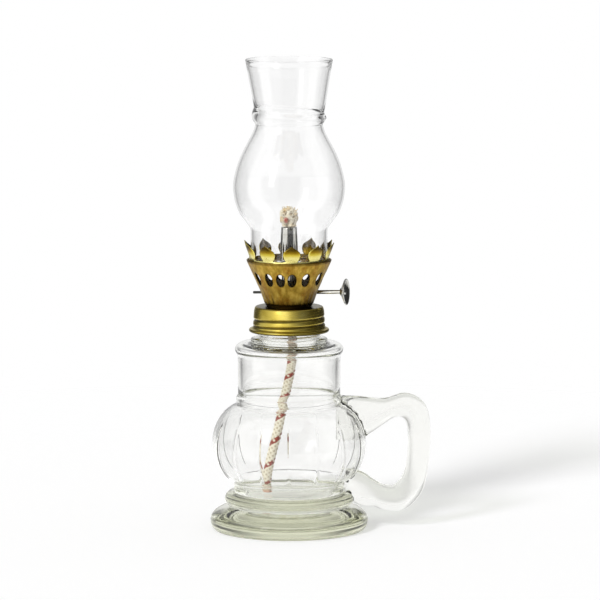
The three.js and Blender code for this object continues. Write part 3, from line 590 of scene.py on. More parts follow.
def crowded(degrees):
    """Moves a column of the spin toward the nearest flute."""
    nearest = round(degrees / sector) * sector
    share = 2 * (degrees - nearest) / sector
    return nearest + math.copysign(abs(share) ** FLUTE_CROWDING, share) * sector / 2


def ridge_share(degrees, height):
    """The thread's right-hand helix: 1 on the neck's ridge, 0 on the collar's groove."""
    turns = (height - GROOVE_HEIGHT) / THREAD_PITCH - degrees / 360
    return (1 - math.cos(TURN * turns)) / 2


def font_rule(radius, degrees, height):
    """Presses the flutes in, raises the thread and lets the skin wander a little inward."""
    degrees = crowded(degrees)
    outer = radius > BULB_CORE + (bulb_width - WALL / 2) * math.sqrt(
        max(0.0, 1 - ((height - bulb_middle) / BULB_UPPER) ** 2))
    if flute_low < height < flute_high and outer:
        off = math.radians(degrees - round(degrees / sector) * sector) * radius
        ends = smooth(flute_low, flute_low + FLUTE_FADE, height)
        ends *= smooth(flute_high, flute_high - FLUTE_FADE, height)
        radius -= FLUTE_DEPTH * ends * math.exp(-(off / FLUTE_HALF) ** 2)
    if height > flange_top + 0.8 and radius > NECK_RADIUS - 0.2:
        fade = smooth(flange_top + 0.9, flange_top + 2.2, height)
        fade *= smooth(FONT_TOP - 1, FONT_TOP - 2.2, height)
        radius += RIDGE_HEIGHT * fade * ridge_share(degrees, height) ** 2
    if radius > 1:
        radius -= WAVE_HEIGHT * (1 + noise.noise(polar(radius, degrees, height) * WAVE_SCALE))
    return radius, degrees, height


font_columns = FLUTES * FLUTE_STEPS
font_mesh = reshaped(spun(outside + neck + mouth + inside, font_columns, ring=False), font_rule)
font = made_object("font_body", font_mesh, pressed_glass)
print("font columns:", font_columns)


# %% [markdown]
# The handle is a bar of hot glass, pressed flat and stuck on while soft, so its edges are
# round and its two ends melt into the font. Pairs of points, one on its outside and one on
# the side of the finger gap, give its width all the way round. A rounded slab is laid through
# the pairs, its ends run into the wall, and a boolean union makes font and handle one glass.

# %% Handle
HANDLE_LOW, HANDLE_HIGH = box("handle")
HANDLE_ROOT, HANDLE_DEPTH = 22.0, 8.6
HANDLE_RINGS, HANDLE_SIDES = 110, 36
SLAB_POWER = 2 / 3.4
HANDLE_SHARES = [
    (0, 0.98, 0, 0.60), (0.12, 0.977, 0.14, 0.595), (0.24, 0.972, 0.25, 0.605), (0.37, 0.96, 0.356, 0.657),
    (0.5, 0.955, 0.44, 0.703), (0.6, 0.975, 0.543, 0.76), (0.72, 1, 0.6, 0.79), (0.83, 0.98, 0.66, 0.803),
    (0.91, 0.935, 0.71, 0.79), (0.97, 0.86, 0.74, 0.75), (0.995, 0.745, 0.755, 0.687),
    (1, 0.62, 0.76, 0.58), (0.99, 0.46, 0.75, 0.46), (0.96, 0.295, 0.727, 0.353),
    (0.92, 0.175, 0.687, 0.28), (0.83, 0.077, 0.65, 0.245), (0.73, 0.015, 0.61, 0.22),
    (0.62, 0.0, 0.55, 0.215), (0.485, 0.013, 0.48, 0.23), (0.4, 0.037, 0.39, 0.27),
    (0.32, 0.045, 0.3, 0.32), (0.22, 0.06, 0.2, 0.35), (0.1, 0.12, 0.1, 0.36),
]
handle_reach = HANDLE_HIGH.x - HANDLE_ROOT
handle_height = HANDLE_HIGH.z - HANDLE_LOW.z
stations = through(HANDLE_SHARES, HANDLE_RINGS)


def slab(angle):
    """A round-edged slab's section, between an ellipse and a rectangle."""
    corner = (math.cos(angle), math.sin(angle))
    return tuple(math.copysign(abs(value) ** SLAB_POWER, value) for value in corner)


def handle_place(u, v):
    """Lays the slab's section across one pair of points."""
    out_x, out_z, in_x, in_z = stations[round(v * HANDLE_RINGS)]
    outer = Vector((HANDLE_ROOT + out_x * handle_reach, 0, HANDLE_LOW.z + out_z * handle_height))
    inner = Vector((HANDLE_ROOT + in_x * handle_reach, 0, HANDLE_LOW.z + in_z * handle_height))
    across, deep = slab(TURN * u)
    return (outer + inner) / 2 + across * (outer - inner) / 2 + Vector((0, deep * HANDLE_DEPTH / 2, 0))


handle_mesh = sheet_mesh()
grid(handle_mesh, HANDLE_SIDES, HANDLE_RINGS, handle_place)
handle = made_object("handle_bar", closed_ends(handle_mesh), pressed_glass)


def united(first, second):
    """One mesh of two solids, in place of the first; the second goes."""
    union = first.modifiers.new("union", "BOOLEAN")
    union.operation = "UNION"
    union.solver = "EXACT"
    union.object = second
    bpy.context.view_layer.update()
    shaped = first.evaluated_get(bpy.context.evaluated_depsgraph_get())
    first.data = bpy.data.meshes.new_from_object(shaped)
    first.modifiers.clear()
    bpy.data.objects.remove(second)
    return first


font = united(font, handle)
font.name = "glass_font"
for face in font.data.polygons:
    face.use_smooth = True
fitted(font, "font", "font_glass", "font", "handle")

# %% [markdown]
# The chimney is blown into a mould and its mouth is opened with a tool, so its wall is thin
# and its bulge is a little uneven. It is one closed wall: the outside goes up from the fitter
# through the bulge, the throat with its bead and the flare, turns over a fire-polished lip
# and comes down inside. A slow noise moves the wall by a tenth or two of a millimetre.

# %% Chimney
CHIMNEY_LOW, CHIMNEY_HIGH = box("chimney")
CHIMNEY_WALL, CHIMNEY_EDGE = 1.2, 0.5
FITTER_RADIUS, FITTER_HEIGHT = 17.9, 14.2
BULGE_RADIUS, BULGE_LOWER, BULGE_UPPER = 26.15, 20.5, 29.5
THROAT_RADIUS, THROAT_BEAD, THROAT_BEAD_HEIGHT = 15.7, 1.35, 6.8
BEAD_TILT, BEAD_INSIDE = 1.3, 0.2
MOUTH_RADIUS = 20.4
CHIMNEY_COLUMNS = 256
BLOWN_WAVE, BLOWN_SCALE, BEAD_POWER = 0.12, 0.035, 1.3
BULGE_LOWER_SHARES = [(0, 0), (0.09, 0.05), (0.22, 0.27), (0.44, 0.66), (0.71, 0.91), (1, 1)]
BULGE_UPPER_SHARES = [(0.17, 0.95), (0.41, 0.76), (0.62, 0.49), (0.87, 0.12), (1, 0)]
fitter_top = CHIMNEY_LOW.z + FITTER_HEIGHT
bulge_middle = fitter_top + BULGE_LOWER
throat = bulge_middle + BULGE_UPPER
mouth_height = CHIMNEY_HIGH.z - CHIMNEY_WALL / 2
bulge_places = [
    *[(FITTER_RADIUS + out * (BULGE_RADIUS - FITTER_RADIUS), fitter_top + up * BULGE_LOWER)
      for up, out in BULGE_LOWER_SHARES],
    *[(THROAT_RADIUS + out * (BULGE_RADIUS - THROAT_RADIUS), bulge_middle + up * BULGE_UPPER)
      for up, out in BULGE_UPPER_SHARES],
]
flare_foot = (THROAT_RADIUS + 0.7, throat + THROAT_BEAD_HEIGHT)
flare_top = (MOUTH_RADIUS - 0.1, mouth_height - 0.6)


def throat_bead(bulge, steps):
    """The rounded bead that rises from the throat, from its lower crease to the flare's foot."""
    points = []
    for step in range(1, steps):
        share = step / steps
        out = bulge * math.sin(math.pi * share) ** BEAD_POWER
        points.append((THROAT_RADIUS + (flare_foot[0] - THROAT_RADIUS) * share + out,
                       throat + THROAT_BEAD_HEIGHT * share))
    return points


def chimney_side(bulge):
    """The wall's outside from the fitter to the lip, with a bead of that bulge."""
    return [
        (FITTER_RADIUS, CHIMNEY_LOW.z + CHIMNEY_EDGE),
        *straight((FITTER_RADIUS, CHIMNEY_LOW.z + 2), (FITTER_RADIUS, fitter_top - 1), 3),
        *through(bulge_places, 52),
        *throat_bead(bulge, 16),
        *straight(flare_foot, flare_top, 5),
        flare_top,
    ]


chimney_outside = chimney_side(THROAT_BEAD)
wall_inside = list(reversed(inset(chimney_side(THROAT_BEAD * BEAD_INSIDE), CHIMNEY_WALL)))
lip_centre = (MOUTH_RADIUS - CHIMNEY_WALL / 2 - 0.1, mouth_height)
edge_height = CHIMNEY_LOW.z + CHIMNEY_EDGE
outer_edge = (FITTER_RADIUS - CHIMNEY_EDGE, edge_height)
inner_edge = (FITTER_RADIUS - CHIMNEY_WALL + CHIMNEY_EDGE, edge_height)
chimney_outline = [
    *arc(outer_edge, CHIMNEY_EDGE, CHIMNEY_EDGE, -90, -20, 3),
    *chimney_outside,
    *arc(lip_centre, CHIMNEY_WALL / 2 + 0.15, CHIMNEY_WALL / 2, -20, 200, 10),
    *wall_inside,
    *arc(inner_edge, CHIMNEY_EDGE, CHIMNEY_EDGE, 200, 270, 3),
]


def blown_rule(radius, degrees, height):
    """A slow unevenness, and a throat that dips toward the handle; the fitter stays round."""
    slack = smooth(fitter_top, fitter_top + 10, height)
    radius -= slack * BLOWN_WAVE * (1 + noise.noise(polar(radius, degrees, height) * BLOWN_SCALE))
    tilt = smooth(throat + 1, throat + THROAT_BEAD_HEIGHT, height)
    tilt *= smooth(mouth_height - 3, throat + 9, height)
    return radius, degrees, height - BEAD_TILT * tilt * math.sin(math.radians(degrees))


chimney_mesh = reshaped(spun(chimney_outline, CHIMNEY_COLUMNS), blown_rule)
chimney = made_object("glass_chimney", chimney_mesh, blown_glass)
fitted(chimney, "chimney", "chimney_glass", "chimney")


# %% [markdown]
# Three brasses make the burner. The screw collar is rolled from bright sheet, satin with fine
# lines that run round it. The cone and the plate in it have tarnished to a mottled brown
# gold, with streaks where they were drawn and wiped. The crown is stamped from bright strip,
# and the heat of the flame has browned its tips, with painted shade added there too. The wick
# tube and the winder are steel with a thin bright plating, nearly neutral and sharp in its
# reflections. All are metal, so their colour is the colour of what they reflect: a base, a
# roughness, and unevenness in both. Where the mesh marks it, a darker colour is mixed into the
# base, which on the collar's top and under its lip, on the ferrule and low on the cone's right
# is painted shade.

# %% Metal finishes
def stretched(tree, x, y, z):
    """Object coordinates scaled for a pattern that is drawn out one way."""
    place = add(tree, "ShaderNodeTexCoord").outputs["Object"]
    return add(tree, "ShaderNodeMapping", {"Vector": place, "Scale": (x, y, z)}).outputs["Vector"]


def metal(tree, output, shade, roughness, relief, strength, depth_mm):
    """Ends a metal's finish: its colour, its roughness and the relief of its skin."""
    bump = add(tree, "ShaderNodeBump", {"Height": relief, "Strength": strength, "Distance": depth_mm * MM})
    shader = add(tree, "ShaderNodeBsdfPrincipled", {
        "Base Color": shade, "Roughness": roughness, "Normal": bump.outputs["Normal"], "Metallic": 1.0})
    tree.links.new(shader.outputs["BSDF"], output.inputs["Surface"])


def rolled_brass(name):
    """Spun and rolled brass: satin, with rings of fine scratches, darker in its groove, and painted shade
    under the lip and on the top.
    """
    finish, tree, output = blank_finish(name)
    rings = add(tree, "ShaderNodeTexNoise", {
        "Vector": stretched(tree, 0.04, 0.04, 5.0), "Scale": per_mm(1.0), "Detail": 3.0})
    cloud = add(tree, "ShaderNodeTexNoise", {
        "Vector": stretched(tree, 1, 1, 1), "Scale": per_mm(7), "Detail": 4.0})
    base = add(tree, "ShaderNodeValToRGB", {"Fac": cloud.outputs["Fac"]}, stops=[
        (0.25, colour("a8943a")), (0.5, colour("beab50")), (0.78, colour("d0c06a"))])
    # a darker groove, and painted shade under the collar's lip and on its top, from the mesh's marks
    shade = mixed_dirt_and_shade(tree, base.outputs["Color"], "2e2408")
    rough = add(tree, "ShaderNodeMapRange", {"Value": rings.outputs["Fac"], "To Min": 0.2, "To Max": 0.34})
    metal(tree, output, shade, rough.outputs["Result"], rings.outputs["Fac"], 0.15, 0.006)
    return finish


def tarnished_brass(name):
    """Old brass sheet: brown-gold blotches, faint upright wiping streaks and a dull skin."""
    finish, tree, output = blank_finish(name)
    streaks = add(tree, "ShaderNodeTexNoise", {
        "Vector": stretched(tree, 1, 1, 0.45), "Scale": per_mm(2.4), "Detail": 6.0, "Roughness": 0.62})
    blotches = add(tree, "ShaderNodeTexNoise", {
        "Vector": stretched(tree, 1, 1, 0.8), "Scale": per_mm(5.5), "Detail": 5.0, "Roughness": 0.6})
    specks = add(tree, "ShaderNodeTexNoise", {
        "Vector": stretched(tree, 1, 1, 1), "Scale": per_mm(0.8), "Detail": 3.0})
    gold = add(tree, "ShaderNodeValToRGB", {"Fac": streaks.outputs["Fac"]}, stops=[
        (0.32, colour("8c7026")), (0.47, colour("a88a36")),
        (0.58, colour("bf9f46")), (0.72, colour("d3b85c"))])
    brown = add(tree, "ShaderNodeValToRGB", {"Fac": specks.outputs["Fac"]}, stops=[
        (0.35, colour("6e4412")), (0.65, colour("a6701e"))])
    patch = add(tree, "ShaderNodeMapRange", {
        "Value": blotches.outputs["Fac"], "From Min": 0.47, "From Max": 0.68, "To Max": 0.75})
    stained = add(tree, "ShaderNodeMix", {
        0: patch.outputs["Result"], 6: gold.outputs["Color"], 7: brown.outputs["Color"]}, data_type="RGBA")
    # darker where the mesh marks it: painted shade on the whole ferrule and low on the cone's right, and
    # darker hole edges, crimps and fold
    shade = mixed_dirt_and_shade(tree, stained.outputs[2], "241605")
    rough = add(tree, "ShaderNodeMapRange", {"Value": blotches.outputs["Fac"], "To Min": 0.3, "To Max": 0.58})
    metal(tree, output, shade, rough.outputs["Result"], streaks.outputs["Fac"], 0.5, 0.05)
    return finish


def heat_tinted_and_shaded_brass(name, soot):
    """Bright stamped brass, browned toward the tips by the flame's heat and by painted shade, and all over by
    soot.
    """
    finish, tree, output = blank_finish(name)
    cloud = add(tree, "ShaderNodeTexNoise", {
        "Vector": stretched(tree, 1, 1, 1), "Scale": per_mm(2.2), "Detail": 4.0})
    # the mesh's mark here is heat tint and painted shade toward the petal tips
    heat_and_shade = add(tree, "ShaderNodeAttribute", attribute_name="groove")
    tinted = add(tree, "ShaderNodeMath", {
        0: cloud.outputs["Fac"], 1: 0.25, 2: heat_and_shade.outputs["Fac"]}, operation="MULTIPLY_ADD")
    darkened = add(tree, "ShaderNodeMath", {0: tinted.outputs[0], 1: soot}, operation="ADD")
    shade = add(tree, "ShaderNodeValToRGB", {"Fac": darkened.outputs[0]}, stops=[
        (0.1, colour("e9e092")), (0.35, colour("cfbb48")), (0.65, colour("937619")), (1.0, colour("4d3c10"))])
    rough = add(tree, "ShaderNodeMapRange", {"Value": cloud.outputs["Fac"], "To Min": 0.16, "To Max": 0.34})
    metal(tree, output, shade.outputs["Color"], rough.outputs["Result"], cloud.outputs["Fac"], 0.25, 0.03)
    return finish


def plated_steel(name, low, high):
    """Bright plating with fine scuffs and soft spots; its roughness is between low and high."""
    finish, tree, output = blank_finish(name)
    scuffs = add(tree, "ShaderNodeTexNoise", {
        "Vector": stretched(tree, 1, 1, 0.3), "Scale": per_mm(0.9), "Detail": 5.0, "Roughness": 0.7})
    cloud = add(tree, "ShaderNodeTexNoise", {
        "Vector": stretched(tree, 1, 1, 1), "Scale": per_mm(5), "Detail": 3.0})
    shade = add(tree, "ShaderNodeValToRGB", {"Fac": cloud.outputs["Fac"]}, stops=[
        (0.3, colour("bab8b0")), (0.7, colour("dcdcd8"))])
    # darker where the mesh marks it: soot on the winder's stub, and on the cone's tin lining the cone's
    # marks, painted shade low on the right among them
    darkened = mixed_dirt_and_shade(tree, shade.outputs["Color"], "14120e")
    rough = add(tree, "ShaderNodeMapRange", {"Value": scuffs.outputs["Fac"], "To Min": low, "To Max": high})
    metal(tree, output, darkened, rough.outputs["Result"], scuffs.outputs["Fac"], 0.2, 0.004)
    return finish


collar_brass = rolled_brass("rolled_satin_brass")
old_brass = tarnished_brass("tarnished_sheet_brass")
crown_brass = heat_tinted_and_shaded_brass("heat_tinted_and_shaded_brass", 0.0)
sooted_brass = heat_tinted_and_shaded_brass("sooted_brass", 0.55)
steel = plated_steel("bright_plated_steel", 0.05, 0.13)
tin = plated_steel("dull_tin_lining", 0.45, 0.65)


def marked(made, rule):
    """Writes the groove attribute: 1 where dirt, tint and painted shade go; rule gets (radius, degrees,
    height).
    """
    kept = made.data.attributes.get("groove")
    layer = kept or made.data.attributes.new("groove", "FLOAT", "POINT")
    for n, corner in enumerate(made.data.vertices):
        x, y, z = corner.co / MM
        layer.data[n].value = rule(math.hypot(x, y), math.degrees(math.atan2(x, -y)), z)


# %% [markdown]
# The collar is a cap of half-millimetre sheet. Its thread is rolled in from outside, so it
# shows as two narrow dark grooves with round bands between them, climbing to the right as a
# right-hand thread does, and its edge is curled outward into a lip.

# %% Screw collar
COLLAR_LOW, COLLAR_HIGH = box("screw_collar")
COLLAR_SHEET = 0.5
COLLAR_RADIUS, COLLAR_SKIRT, COLLAR_LIP = 16.5, 16.9, 18.7
COLLAR_SHOULDER, COLLAR_ROUND = 15.9, 1.1
COLLAR_HOLE = 10.5
LIP_WIDTH, LIP_HALF = 0.55, 0.75
GROOVE_DEPTH, GROOVE_POWER, GROOVE_EASE, GROOVE_DARK_POWER = 0.55, 3, 1.2, 5
COLLAR_COLUMNS, FERRULE_COLUMNS = 160, 96
lip_top = COLLAR_LOW.z + 2 * LIP_HALF
thread_low, thread_high = lip_top + 0.6, COLLAR_HIGH.z - 3.7
round_centre = (COLLAR_SHOULDER - COLLAR_ROUND + 0.2, COLLAR_HIGH.z - COLLAR_ROUND)
collar_outside = [
    *arc((COLLAR_LIP - LIP_WIDTH, COLLAR_LOW.z + LIP_HALF), LIP_WIDTH, LIP_HALF, -100, 100, 10),
    (COLLAR_SKIRT + 0.75, lip_top + 0.05),
    (COLLAR_SKIRT + 0.25, lip_top + 0.3),
    *straight((COLLAR_SKIRT, thread_low), (COLLAR_RADIUS, thread_high), 44),
    *straight((COLLAR_RADIUS, thread_high), (COLLAR_RADIUS - 0.2, COLLAR_HIGH.z - 1.5), 5),
    *arc(round_centre, COLLAR_ROUND, COLLAR_ROUND, 0, 90, 8),
    *straight((round_centre[0] - 0.8, COLLAR_HIGH.z), (COLLAR_HOLE, COLLAR_HIGH.z), 3),
]
collar_inside = list(reversed(inset(collar_outside, COLLAR_SHEET)))[:-9]
collar_outline = [*collar_outside, (COLLAR_HOLE, COLLAR_HIGH.z), (COLLAR_HOLE, COLLAR_HIGH.z - COLLAR_SHEET),
                  *collar_inside]


def thread_fade(height):
    """1 where the groove has its full depth, 0 above and below it."""
    rising = smooth(thread_low, thread_low + GROOVE_EASE, height)
    return rising * smooth(thread_high, thread_high - GROOVE_EASE, height)


def collar_rule(radius, degrees, height):
    """Rolls the helical groove into the wall."""
    if radius > COLLAR_RADIUS - 1.2:
        groove = (1 - ridge_share(degrees, height)) ** GROOVE_POWER
        radius -= GROOVE_DEPTH * thread_fade(height) * groove
    return radius, degrees, height


def collar_groove_and_painted_shade(radius, degrees, height):
    """Darker in the groove; painted shade under the lip and on the top, which the cone above shades."""
    groove = (1 - ridge_share(degrees, height)) ** GROOVE_DARK_POWER * thread_fade(height)
    shade_under_lip = smooth(COLLAR_LOW.z + 1.2, COLLAR_LOW.z + 0.3, height)
    top = smooth(COLLAR_RADIUS - 0.6, COLLAR_RADIUS - 1.3, radius)
    top *= smooth(COLLAR_HIGH.z - 0.4, COLLAR_HIGH.z, height)
    return max(0.9 * groove, 0.9 * shade_under_lip, 0.85 * top)


collar_mesh = reshaped(spun(collar_outline, COLLAR_COLUMNS), collar_rule)
collar = made_object("rolled_collar", collar_mesh, collar_brass, sharp=50)
marked(collar, collar_groove_and_painted_shade)
fitted(collar, "burner", "collar_brass", "screw_collar")

# %% [markdown]
# Between collar and cone sits the ferrule, a short barrel with a bead, whose flanges
# clinch both sheets and whose web holds the wick tube. It is turned like the collar, and
# painted dark all over as shade, because it sits in shadow under the cone.

# %% Ferrule
FERRULE_LOW, FERRULE_HIGH = box("neck_ferrule")
FERRULE_RADIUS, FERRULE_SHEET = 10.2, 0.5
FERRULE_BEAD, BEAD_HALF = 0.8, 0.45
WEB_HOLE = 3.7
half_sheet = FERRULE_SHEET / 2
bead_low = COLLAR_HIGH.z + 0.3
ferrule_outline = [
    (WEB_HOLE, bead_low - 0.3), (FERRULE_RADIUS - FERRULE_SHEET, bead_low - 0.3),
    (FERRULE_RADIUS - FERRULE_SHEET, FERRULE_LOW.z),
    *arc((FERRULE_RADIUS + 1.05, FERRULE_LOW.z + half_sheet), half_sheet, half_sheet, -90, 90, 4),
    (FERRULE_RADIUS, FERRULE_LOW.z + FERRULE_SHEET), (FERRULE_RADIUS, bead_low),
    *arc((FERRULE_RADIUS, bead_low + BEAD_HALF), FERRULE_BEAD, BEAD_HALF, -80, 80, 8),
    (FERRULE_RADIUS, bead_low + 2 * BEAD_HALF), (FERRULE_RADIUS, FERRULE_HIGH.z - FERRULE_SHEET),
    *arc((FERRULE_RADIUS + 0.45, FERRULE_HIGH.z - half_sheet), half_sheet, half_sheet, -90, 90, 4),
    (FERRULE_RADIUS - FERRULE_SHEET, FERRULE_HIGH.z),
    (FERRULE_RADIUS - FERRULE_SHEET, bead_low + 0.2), (WEB_HOLE, bead_low + 0.2),
]
ferrule = made_object("clinched_ferrule", spun(ferrule_outline, FERRULE_COLUMNS), old_brass, sharp=50)
# painted shade: the whole ferrule is marked dark, since it sits in shadow under the cone
marked(ferrule, lambda radius, degrees, height: 0.95)
fitted(ferrule, "burner", "aged_brass", "neck_ferrule")

# %% [markdown]
# The cone is a basket of thin sheet, drawn, crimped at its foot and punched with oval air
# holes, whose edges the punch has pushed inward. Each hole gets its own patch, a grid that
# runs from the hole's edge out to a rectangle of wall, so the edge can be bent without a
# boolean. The wall above and below is more grid, the patches are welded, and Solidify gives
# the sheet its thickness. Its inside is tinned, which shows pale through the holes.

# %% Pierced cone
CONE_LOW = box("burner_cone")[0]
CONE_SHEET = 0.45
CONE_FOOT, CONE_WAIST, CONE_RIM = 11.4, 13.5, 19.6
CONE_FOOT_HEIGHT, CONE_FLARE = 6.0, 13.5
HOLE_WIDTH, HOLE_LENGTH = 3.8, 5.7
HOLE_DEGREES = [-63, -35, -14, 5, 29, 59, 86, 121, 151, 175, 194, 215, 243, 270]
HOLE_COLUMNS, HOLE_ROWS, HOLE_RINGS = 16, 10, 7
PATCH_HALF, PATCH_CROWDING, PUNCH_DEPTH = 3.7, 1.6, 0.7
PLEATS = 27
PLEAT_DEPTH = 0.42
cone_waist = CONE_LOW.z + CONE_FOOT_HEIGHT
cone_rim = cone_waist + CONE_FLARE
hole_middle = cone_rim - HOLE_LENGTH / 2 - CONE_FLARE / 3
patch_low, patch_high = hole_middle - PATCH_HALF, hole_middle + PATCH_HALF


def cone_radius(height):
    """The wall's outside: a straight flare above the waist, and a rounder foot below it."""
    flare = CONE_WAIST + (CONE_RIM - CONE_WAIST) * (height - cone_waist) / CONE_FLARE
    foot = CONE_FOOT + (CONE_WAIST - CONE_FOOT) * (height - CONE_LOW.z) / CONE_FOOT_HEIGHT
    blend = smooth(cone_waist - 2.5, cone_waist + 2.5, height)
    return foot + (flare - foot) * blend


def pleat(degrees, height):
    """How far the crimps at the foot press the wall in; each has its own strength."""
    wander = noise.noise(Vector((degrees * 0.03, 1.7, 0)))
    strength = 0.6 + 0.5 * noise.noise(Vector((round(degrees * PLEATS / 360) * 1.37, 4.2, 0)))
    wave = (1 + math.cos(math.radians(degrees) * PLEATS + 1.5 * wander)) / 2
    return PLEAT_DEPTH * strength * wave ** 2 * smooth(patch_low - 0.3, CONE_LOW.z + 2.2, height)


def frame_point(turn, low, high):
    """A place on the rim of a patch, by its share of the way round from the lower left."""
    sides = [HOLE_COLUMNS, HOLE_ROWS, HOLE_COLUMNS, HOLE_ROWS]
    step = round(turn * sum(sides)) % sum(sides)
    if step < sides[0]:
        across, up = step / sides[0], 0
    elif step < sides[0] + sides[1]:
        across, up = 1, (step - sides[0]) / sides[1]
    elif step < 2 * sides[0] + sides[1]:
        across, up = 1 - (step - sides[0] - sides[1]) / sides[0], 1
    else:
        across, up = 0, 1 - (step - 2 * sides[0] - sides[1]) / sides[1]
    return low + across * (high - low), patch_low + up * (patch_high - patch_low)


def hole_place(middle, low, high):
    """The rule that lays a patch from the edge of its hole, pushed inward, to its rim."""
    def place(u, v):
        rim_degrees, rim_height = frame_point(u, low, high)
        reach = math.radians(rim_degrees - middle) * cone_radius(hole_middle)
        angle = math.atan2((rim_height - hole_middle) / HOLE_LENGTH, reach / HOLE_WIDTH)
        edge_x = HOLE_WIDTH / 2 * math.cos(angle)
        edge_z = HOLE_LENGTH / 2 * math.sin(angle)
        share = v ** PATCH_CROWDING
        x = edge_x + (reach - edge_x) * share
        height = hole_middle + edge_z + (rim_height - hole_middle - edge_z) * share
        degrees = middle + math.degrees(x / cone_radius(hole_middle))
        if v == 1:
            degrees, height = rim_degrees, rim_height
        pushed = PUNCH_DEPTH * (1 - smooth(0, 0.3, v)) ** 1.5
        return polar(cone_radius(height) - pushed - pleat(degrees, height), degrees, height)
    return place


def wall_place(low, high, profile):
    """The rule that lays a strip of wall between two angles, up a profile of the wall."""
    def place(u, v):
        radius, height = profile(v)
        degrees = low + u * (high - low)
        return polar(radius - pleat(degrees, height), degrees, height)
    return place


def lower_profile(v):
    """Up the wall from its foot to the patches of the holes."""
    height = CONE_LOW.z + v * (patch_low - CONE_LOW.z)
    return cone_radius(height), height


FOLD = [(0, 0), (0.12, 0.35), (0.2, 0.75), (0, 0.98), (-0.4, 0.96), (-0.66, 0.6), (-0.64, 0.1)]
LOWER_ROWS, UPPER_ROWS, FOLD_ROWS = 16, 8, 12


def upper_profile(v):
    """Up the wall to the rim, then over the fold."""
    row = round(v * (UPPER_ROWS + FOLD_ROWS))
    if row <= UPPER_ROWS:
        height = patch_high + (cone_rim - patch_high) * row / UPPER_ROWS
        return cone_radius(height), height
    out, up = through(FOLD, FOLD_ROWS)[row - UPPER_ROWS]
    return cone_radius(cone_rim) + out, cone_rim + up


cone_mesh = sheet_mesh()
for n, middle in enumerate(HOLE_DEGREES):
    before = HOLE_DEGREES[n - 1] - (360 if n == 0 else 0)
    after = HOLE_DEGREES[(n + 1) % len(HOLE_DEGREES)] + (360 if n == len(HOLE_DEGREES) - 1 else 0)
    low, high = (before + middle) / 2, (middle + after) / 2
    grid(cone_mesh, 2 * (HOLE_COLUMNS + HOLE_ROWS), HOLE_RINGS, hole_place(middle, low, high))
    grid(cone_mesh, HOLE_COLUMNS, LOWER_ROWS, wall_place(low, high, lower_profile))
    grid(cone_mesh, HOLE_COLUMNS, UPPER_ROWS + FOLD_ROWS, wall_place(low, high, upper_profile))


def facing_out(mesh):
    """Welds an open sheet round the axis and turns its faces away from the axis."""
    bmesh.ops.remove_doubles(mesh, verts=mesh.verts, dist=SHEET_MERGE)
    bmesh.ops.recalc_face_normals(mesh, faces=mesh.faces)
    mesh.normal_update()
    facing = 0
    for face in mesh.faces:
        middle = face.calc_center_median()
        facing += face.calc_area() * (face.normal.x * middle.x + face.normal.y * middle.y)
    if facing < 0:
        bmesh.ops.reverse_faces(mesh, faces=mesh.faces)
    return mesh


def thickened(made, thickness, lining=0):
    """Gives a sheet its thickness on its inner side; lining is the inner side's material."""
    wall = made.modifiers.new("sheet", "SOLIDIFY")
    wall.thickness = thickness * MM
    wall.offset = -1
    wall.use_even_offset = True
    wall.material_offset = lining
    return made


def hole_distance(degrees, height):
    """How far a place is from the nearest hole's edge, in hole sizes; 1 is on the edge."""
    nearest = min(abs((degrees - middle + 180) % 360 - 180) for middle in HOLE_DEGREES)
    across = math.radians(nearest) * cone_radius(height) / (HOLE_WIDTH / 2)
    return math.hypot(across, (height - hole_middle) / (HOLE_LENGTH / 2))


def cone_dark_and_painted_shade(radius, degrees, height):
    """Darker at the holes' edges, in the crimps, on the fold and toward the foot, with painted shade low on
    the right, away from the lamp.
    """
    edge = 0.95 * (1 - smooth(1.0, 1.3, hole_distance(degrees, height)))
    crimp = 0.85 * pleat(degrees, height) / PLEAT_DEPTH
    lower = 0.3 * smooth(hole_middle + 3, CONE_LOW.z + 4, height)
    # painted shade on the right side, away from the lamp
    shade_low_right = 0.6 * smooth(hole_middle, CONE_LOW.z, height) * smooth(20, 60, degrees) * (degrees < 180)
    fold = 0.5 * smooth(cone_rim - 0.4, cone_rim + 0.1, height)
    return min(1, max(edge, crimp, fold, lower + shade_low_right))


cone = made_object("pierced_cone", facing_out(cone_mesh), old_brass, sharp=55)
marked(cone, cone_dark_and_painted_shade)
cone.data.materials.append(tin)
thickened(cone, CONE_SHEET, lining=1)
fitted(cone, "burner", "aged_brass", "burner_cone")

# %% [markdown]
# The crown is one strip of springy brass, cut into ten petals and rolled into a ring. Each
# petal stands up from the band, cupped across, and flares out to a pointed tip, so that the
# glass can be pushed in from above. One grid per petal carries the leaf, two more carry the
# band below it and beside it, and all are welded before Solidify gives the sheet its
# thickness. The side toward the flame is browner.

# %% Petal crown
CROWN_LOW, CROWN_HIGH = box("petal_crown")
CROWN_SHEET, CROWN_GAP, CROWN_BAND, PETAL_TWIST = 0.4, 0.3, 1.8, 1.2
PETALS, PETAL_START = 10, 4
PETAL_WIDTH, PETAL_FLARE = 8.0, 3.0
PETAL_WIDTH_SHARES = [(0.72,), (0.86,), (0.96,), (1.0,), (0.97,), (0.86,), (0.6,), (0.26,), (0.03,)]
BAND_ROWS, PETAL_ROWS, PETAL_COLUMNS, GAP_COLUMNS = 3, 32, 16, 4
PETAL_CUP = 0.5
band_radius = FITTER_RADIUS + CROWN_GAP + CROWN_SHEET
band_high = CROWN_LOW.z + CROWN_BAND
petal_height = CROWN_HIGH.z - band_high
petal_widths = through(PETAL_WIDTH_SHARES, PETAL_ROWS)
pitch = 360 / PETALS
base_half = math.degrees(PETAL_WIDTH * PETAL_WIDTH_SHARES[0][0] / 2 / band_radius)


